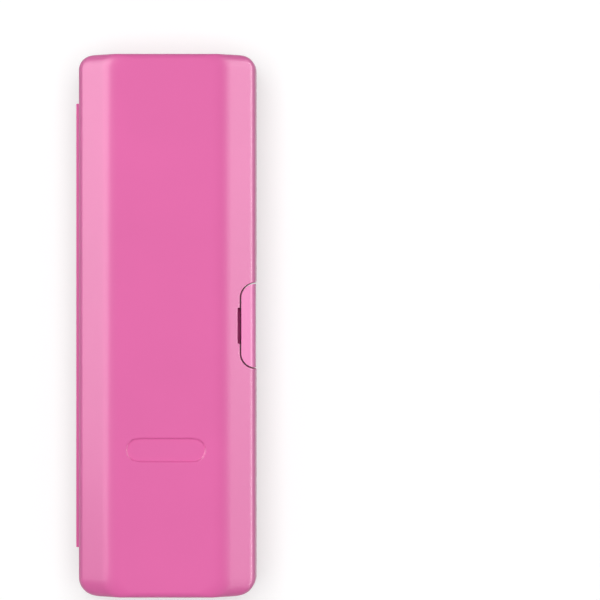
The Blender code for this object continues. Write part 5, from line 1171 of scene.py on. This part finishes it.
pocket_pink = moulded("pocket_plastic", (0.70, 0.085, 0.32), 0.42, coat=0.1)
steps = np.linspace(PLATE_LEFT, PLATE_RIGHT, EDGE_STEPS)
right = steps[lid_ceiling(steps) > PLATE_UNDER + PLATE_LEAST].max()
low, high = HEADS["lower"], HEADS["upper"] + CUP_UP + CUP_RADIUS
outline = [(PLATE_LEFT, low), (right, low), (right, high), (PLATE_LEFT, high)]
pockets = plate("head_cradle_skin", outline, PLATE_UNDER, lid_ceiling, ((PLATE_LEFT + right) / 2, 0),
                pocket_pink, "lid", "head_cradle", slot="cradle_plastic")
boss = [(0, BOSS_FREE), (BOSS_RADIUS, BOSS_FREE), (BOSS_RADIUS, BOSS_ROOT), (0, BOSS_ROOT)]
ribs = []
for foot_y in HEADS.values():
    line = pocket_line(foot_y)
    root = lid_ceiling(line[:, 0]) - POCKET_ROOTED
    ribs.append(rib("pocket_rib", line, RIB_FREE, root, HEAD_RIB, pocket_pink, loop=True))
    for height in HEAD_SADDLES:
        line = resampled([(HEAD_X + way * SADDLE_HALF, foot_y + height) for way in (-1, 1)], 0.3)
        over = np.maximum((waved(HEAD_STATIONS, height) + FIT) ** 2 - (line[:, 0] - HEAD_X) ** 2, 0)
        top, root = HEAD_Z + np.sqrt(over), PLATE_OVER - SADDLE_ROOTED
        ribs.append(rib("head_saddle", line, top, root, HEAD_RIB, pocket_pink))
    middle = (HEAD_X, foot_y + CUP_UP, 0)
    ribs.append(turned("boss", boss, middle, pocket_pink, edges=[0, 0.4, 0, 0], upright=True))
shaped(pockets, "UNION", *ribs)


# Studio
# A plain pale floor, soft lamps and the camera straight above the case.

FLOOR_HALF, FLOOR_Z, FLOOR_GREY, FLOOR_SEEN, FLOOR_GLOW, AIR_LIGHT = 6000.0, -0.05, 0.2, 0.62, 0.42, 0.3
PICTURE_WIDTH, SENSOR, CAMERA_PLACE, CAMERA_RANGE = 226.8, 36.0, (50.7, 9.75, 1138.0), (0.05, 20.0)
LAMP_AIM = Vector((0, 0, 20))
LAMPS = (
    ("top_lamp", (0, 200, 1900), (1500, 1500), 30, True, False),
    ("left_strip", (-1450, 500, 800), (1500, 1300), 40, False, True),
    ("right_strip", (1450, 500, 750), (1300, 900), 13, False, True),
    ("right_low_strip", (1500, 100, 200), (2200, 300), 32, False, True),
)


def seen_rays(nodes, link):
    """One where a ray comes from the camera, a gloss or through something clear, and nought elsewhere."""
    paths = nodes.new("ShaderNodeLightPath").outputs
    seen = paths["Is Camera Ray"]
    for kind in ("Is Glossy Ray", "Is Transmission Ray"):
        either = nodes.new("ShaderNodeMath")
        either.operation = "MAXIMUM"
        link(seen, either.inputs[0])
        link(paths[kind], either.inputs[1])
        seen = either.outputs[0]
    return seen


def floor_finish():
    """Nearly white where it is seen, with the soft shadow of the case, and grey to the light that
    bounces off it: a diffuse surface with a glow added for seen rays."""
    finish, nodes, link = new_finish("studio_floor")
    nodes.remove(nodes["Principled BSDF"])
    shade = nodes.new("ShaderNodeBsdfDiffuse")
    seen = seen_rays(nodes, link)
    link(between(nodes, link, seen, FLOOR_GREY, FLOOR_SEEN), shade.inputs["Color"])
    glow = nodes.new("ShaderNodeEmission")
    link(seen, glow.inputs["Strength"])
    glow.inputs["Color"].default_value = (FLOOR_GLOW, FLOOR_GLOW, FLOOR_GLOW, 1)
    both = nodes.new("ShaderNodeAddShader")
    link(shade.outputs[0], both.inputs[0])
    link(glow.outputs[0], both.inputs[1])
    link(both.outputs[0], nodes["Material Output"].inputs["Surface"])
    return finish


corners = np.array([(-FLOOR_HALF, -FLOOR_HALF, FLOOR_Z), (FLOOR_HALF, -FLOOR_HALF, FLOOR_Z),
                    (FLOOR_HALF, FLOOR_HALF, FLOOR_Z), (-FLOOR_HALF, FLOOR_HALF, FLOOR_Z)])
make_piece("studio_floor", corners, [(0, 1, 2, 3)], floor_finish())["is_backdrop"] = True

for name, place, size, power, diffuse, gloss in LAMPS:
    light = bpy.data.lights.new(name, "AREA")
    light.shape, light.energy = "RECTANGLE", power
    light.size, light.size_y = size[0] * MM, size[1] * MM
    lamp = bpy.data.objects.new(name, light)
    bpy.context.scene.collection.objects.link(lamp)
    lamp.location = Vector(place) * MM
    lamp.rotation_euler = (LAMP_AIM - Vector(place)).to_track_quat("-Z", "Y").to_euler()
    lamp.visible_diffuse, lamp.visible_glossy = diffuse, gloss

world = bpy.data.worlds.new("studio_air")
bpy.context.scene.world = world
world.use_nodes = True
nodes, link = world.node_tree.nodes, world.node_tree.links.new
strength = between(nodes, link, seen_rays(nodes, link), AIR_LIGHT, 1.0)
link(strength, nodes["Background"].inputs["Strength"])
nodes["Background"].inputs["Color"].default_value = (1, 1, 1, 1)

camera_data = bpy.data.cameras.new("front_camera")
camera = bpy.data.objects.new("front_camera", camera_data)
bpy.context.scene.collection.objects.link(camera)
camera.location = Vector(CAMERA_PLACE) * MM
camera_data.sensor_width = SENSOR
camera_data.lens = SENSOR * (CAMERA_PLACE[2] - FACE_Z) / PICTURE_WIDTH
camera_data.clip_start, camera_data.clip_end = CAMERA_RANGE
bpy.context.scene.camera = camera
bpy.context.scene.view_settings.view_transform = "Standard"

low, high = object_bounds()
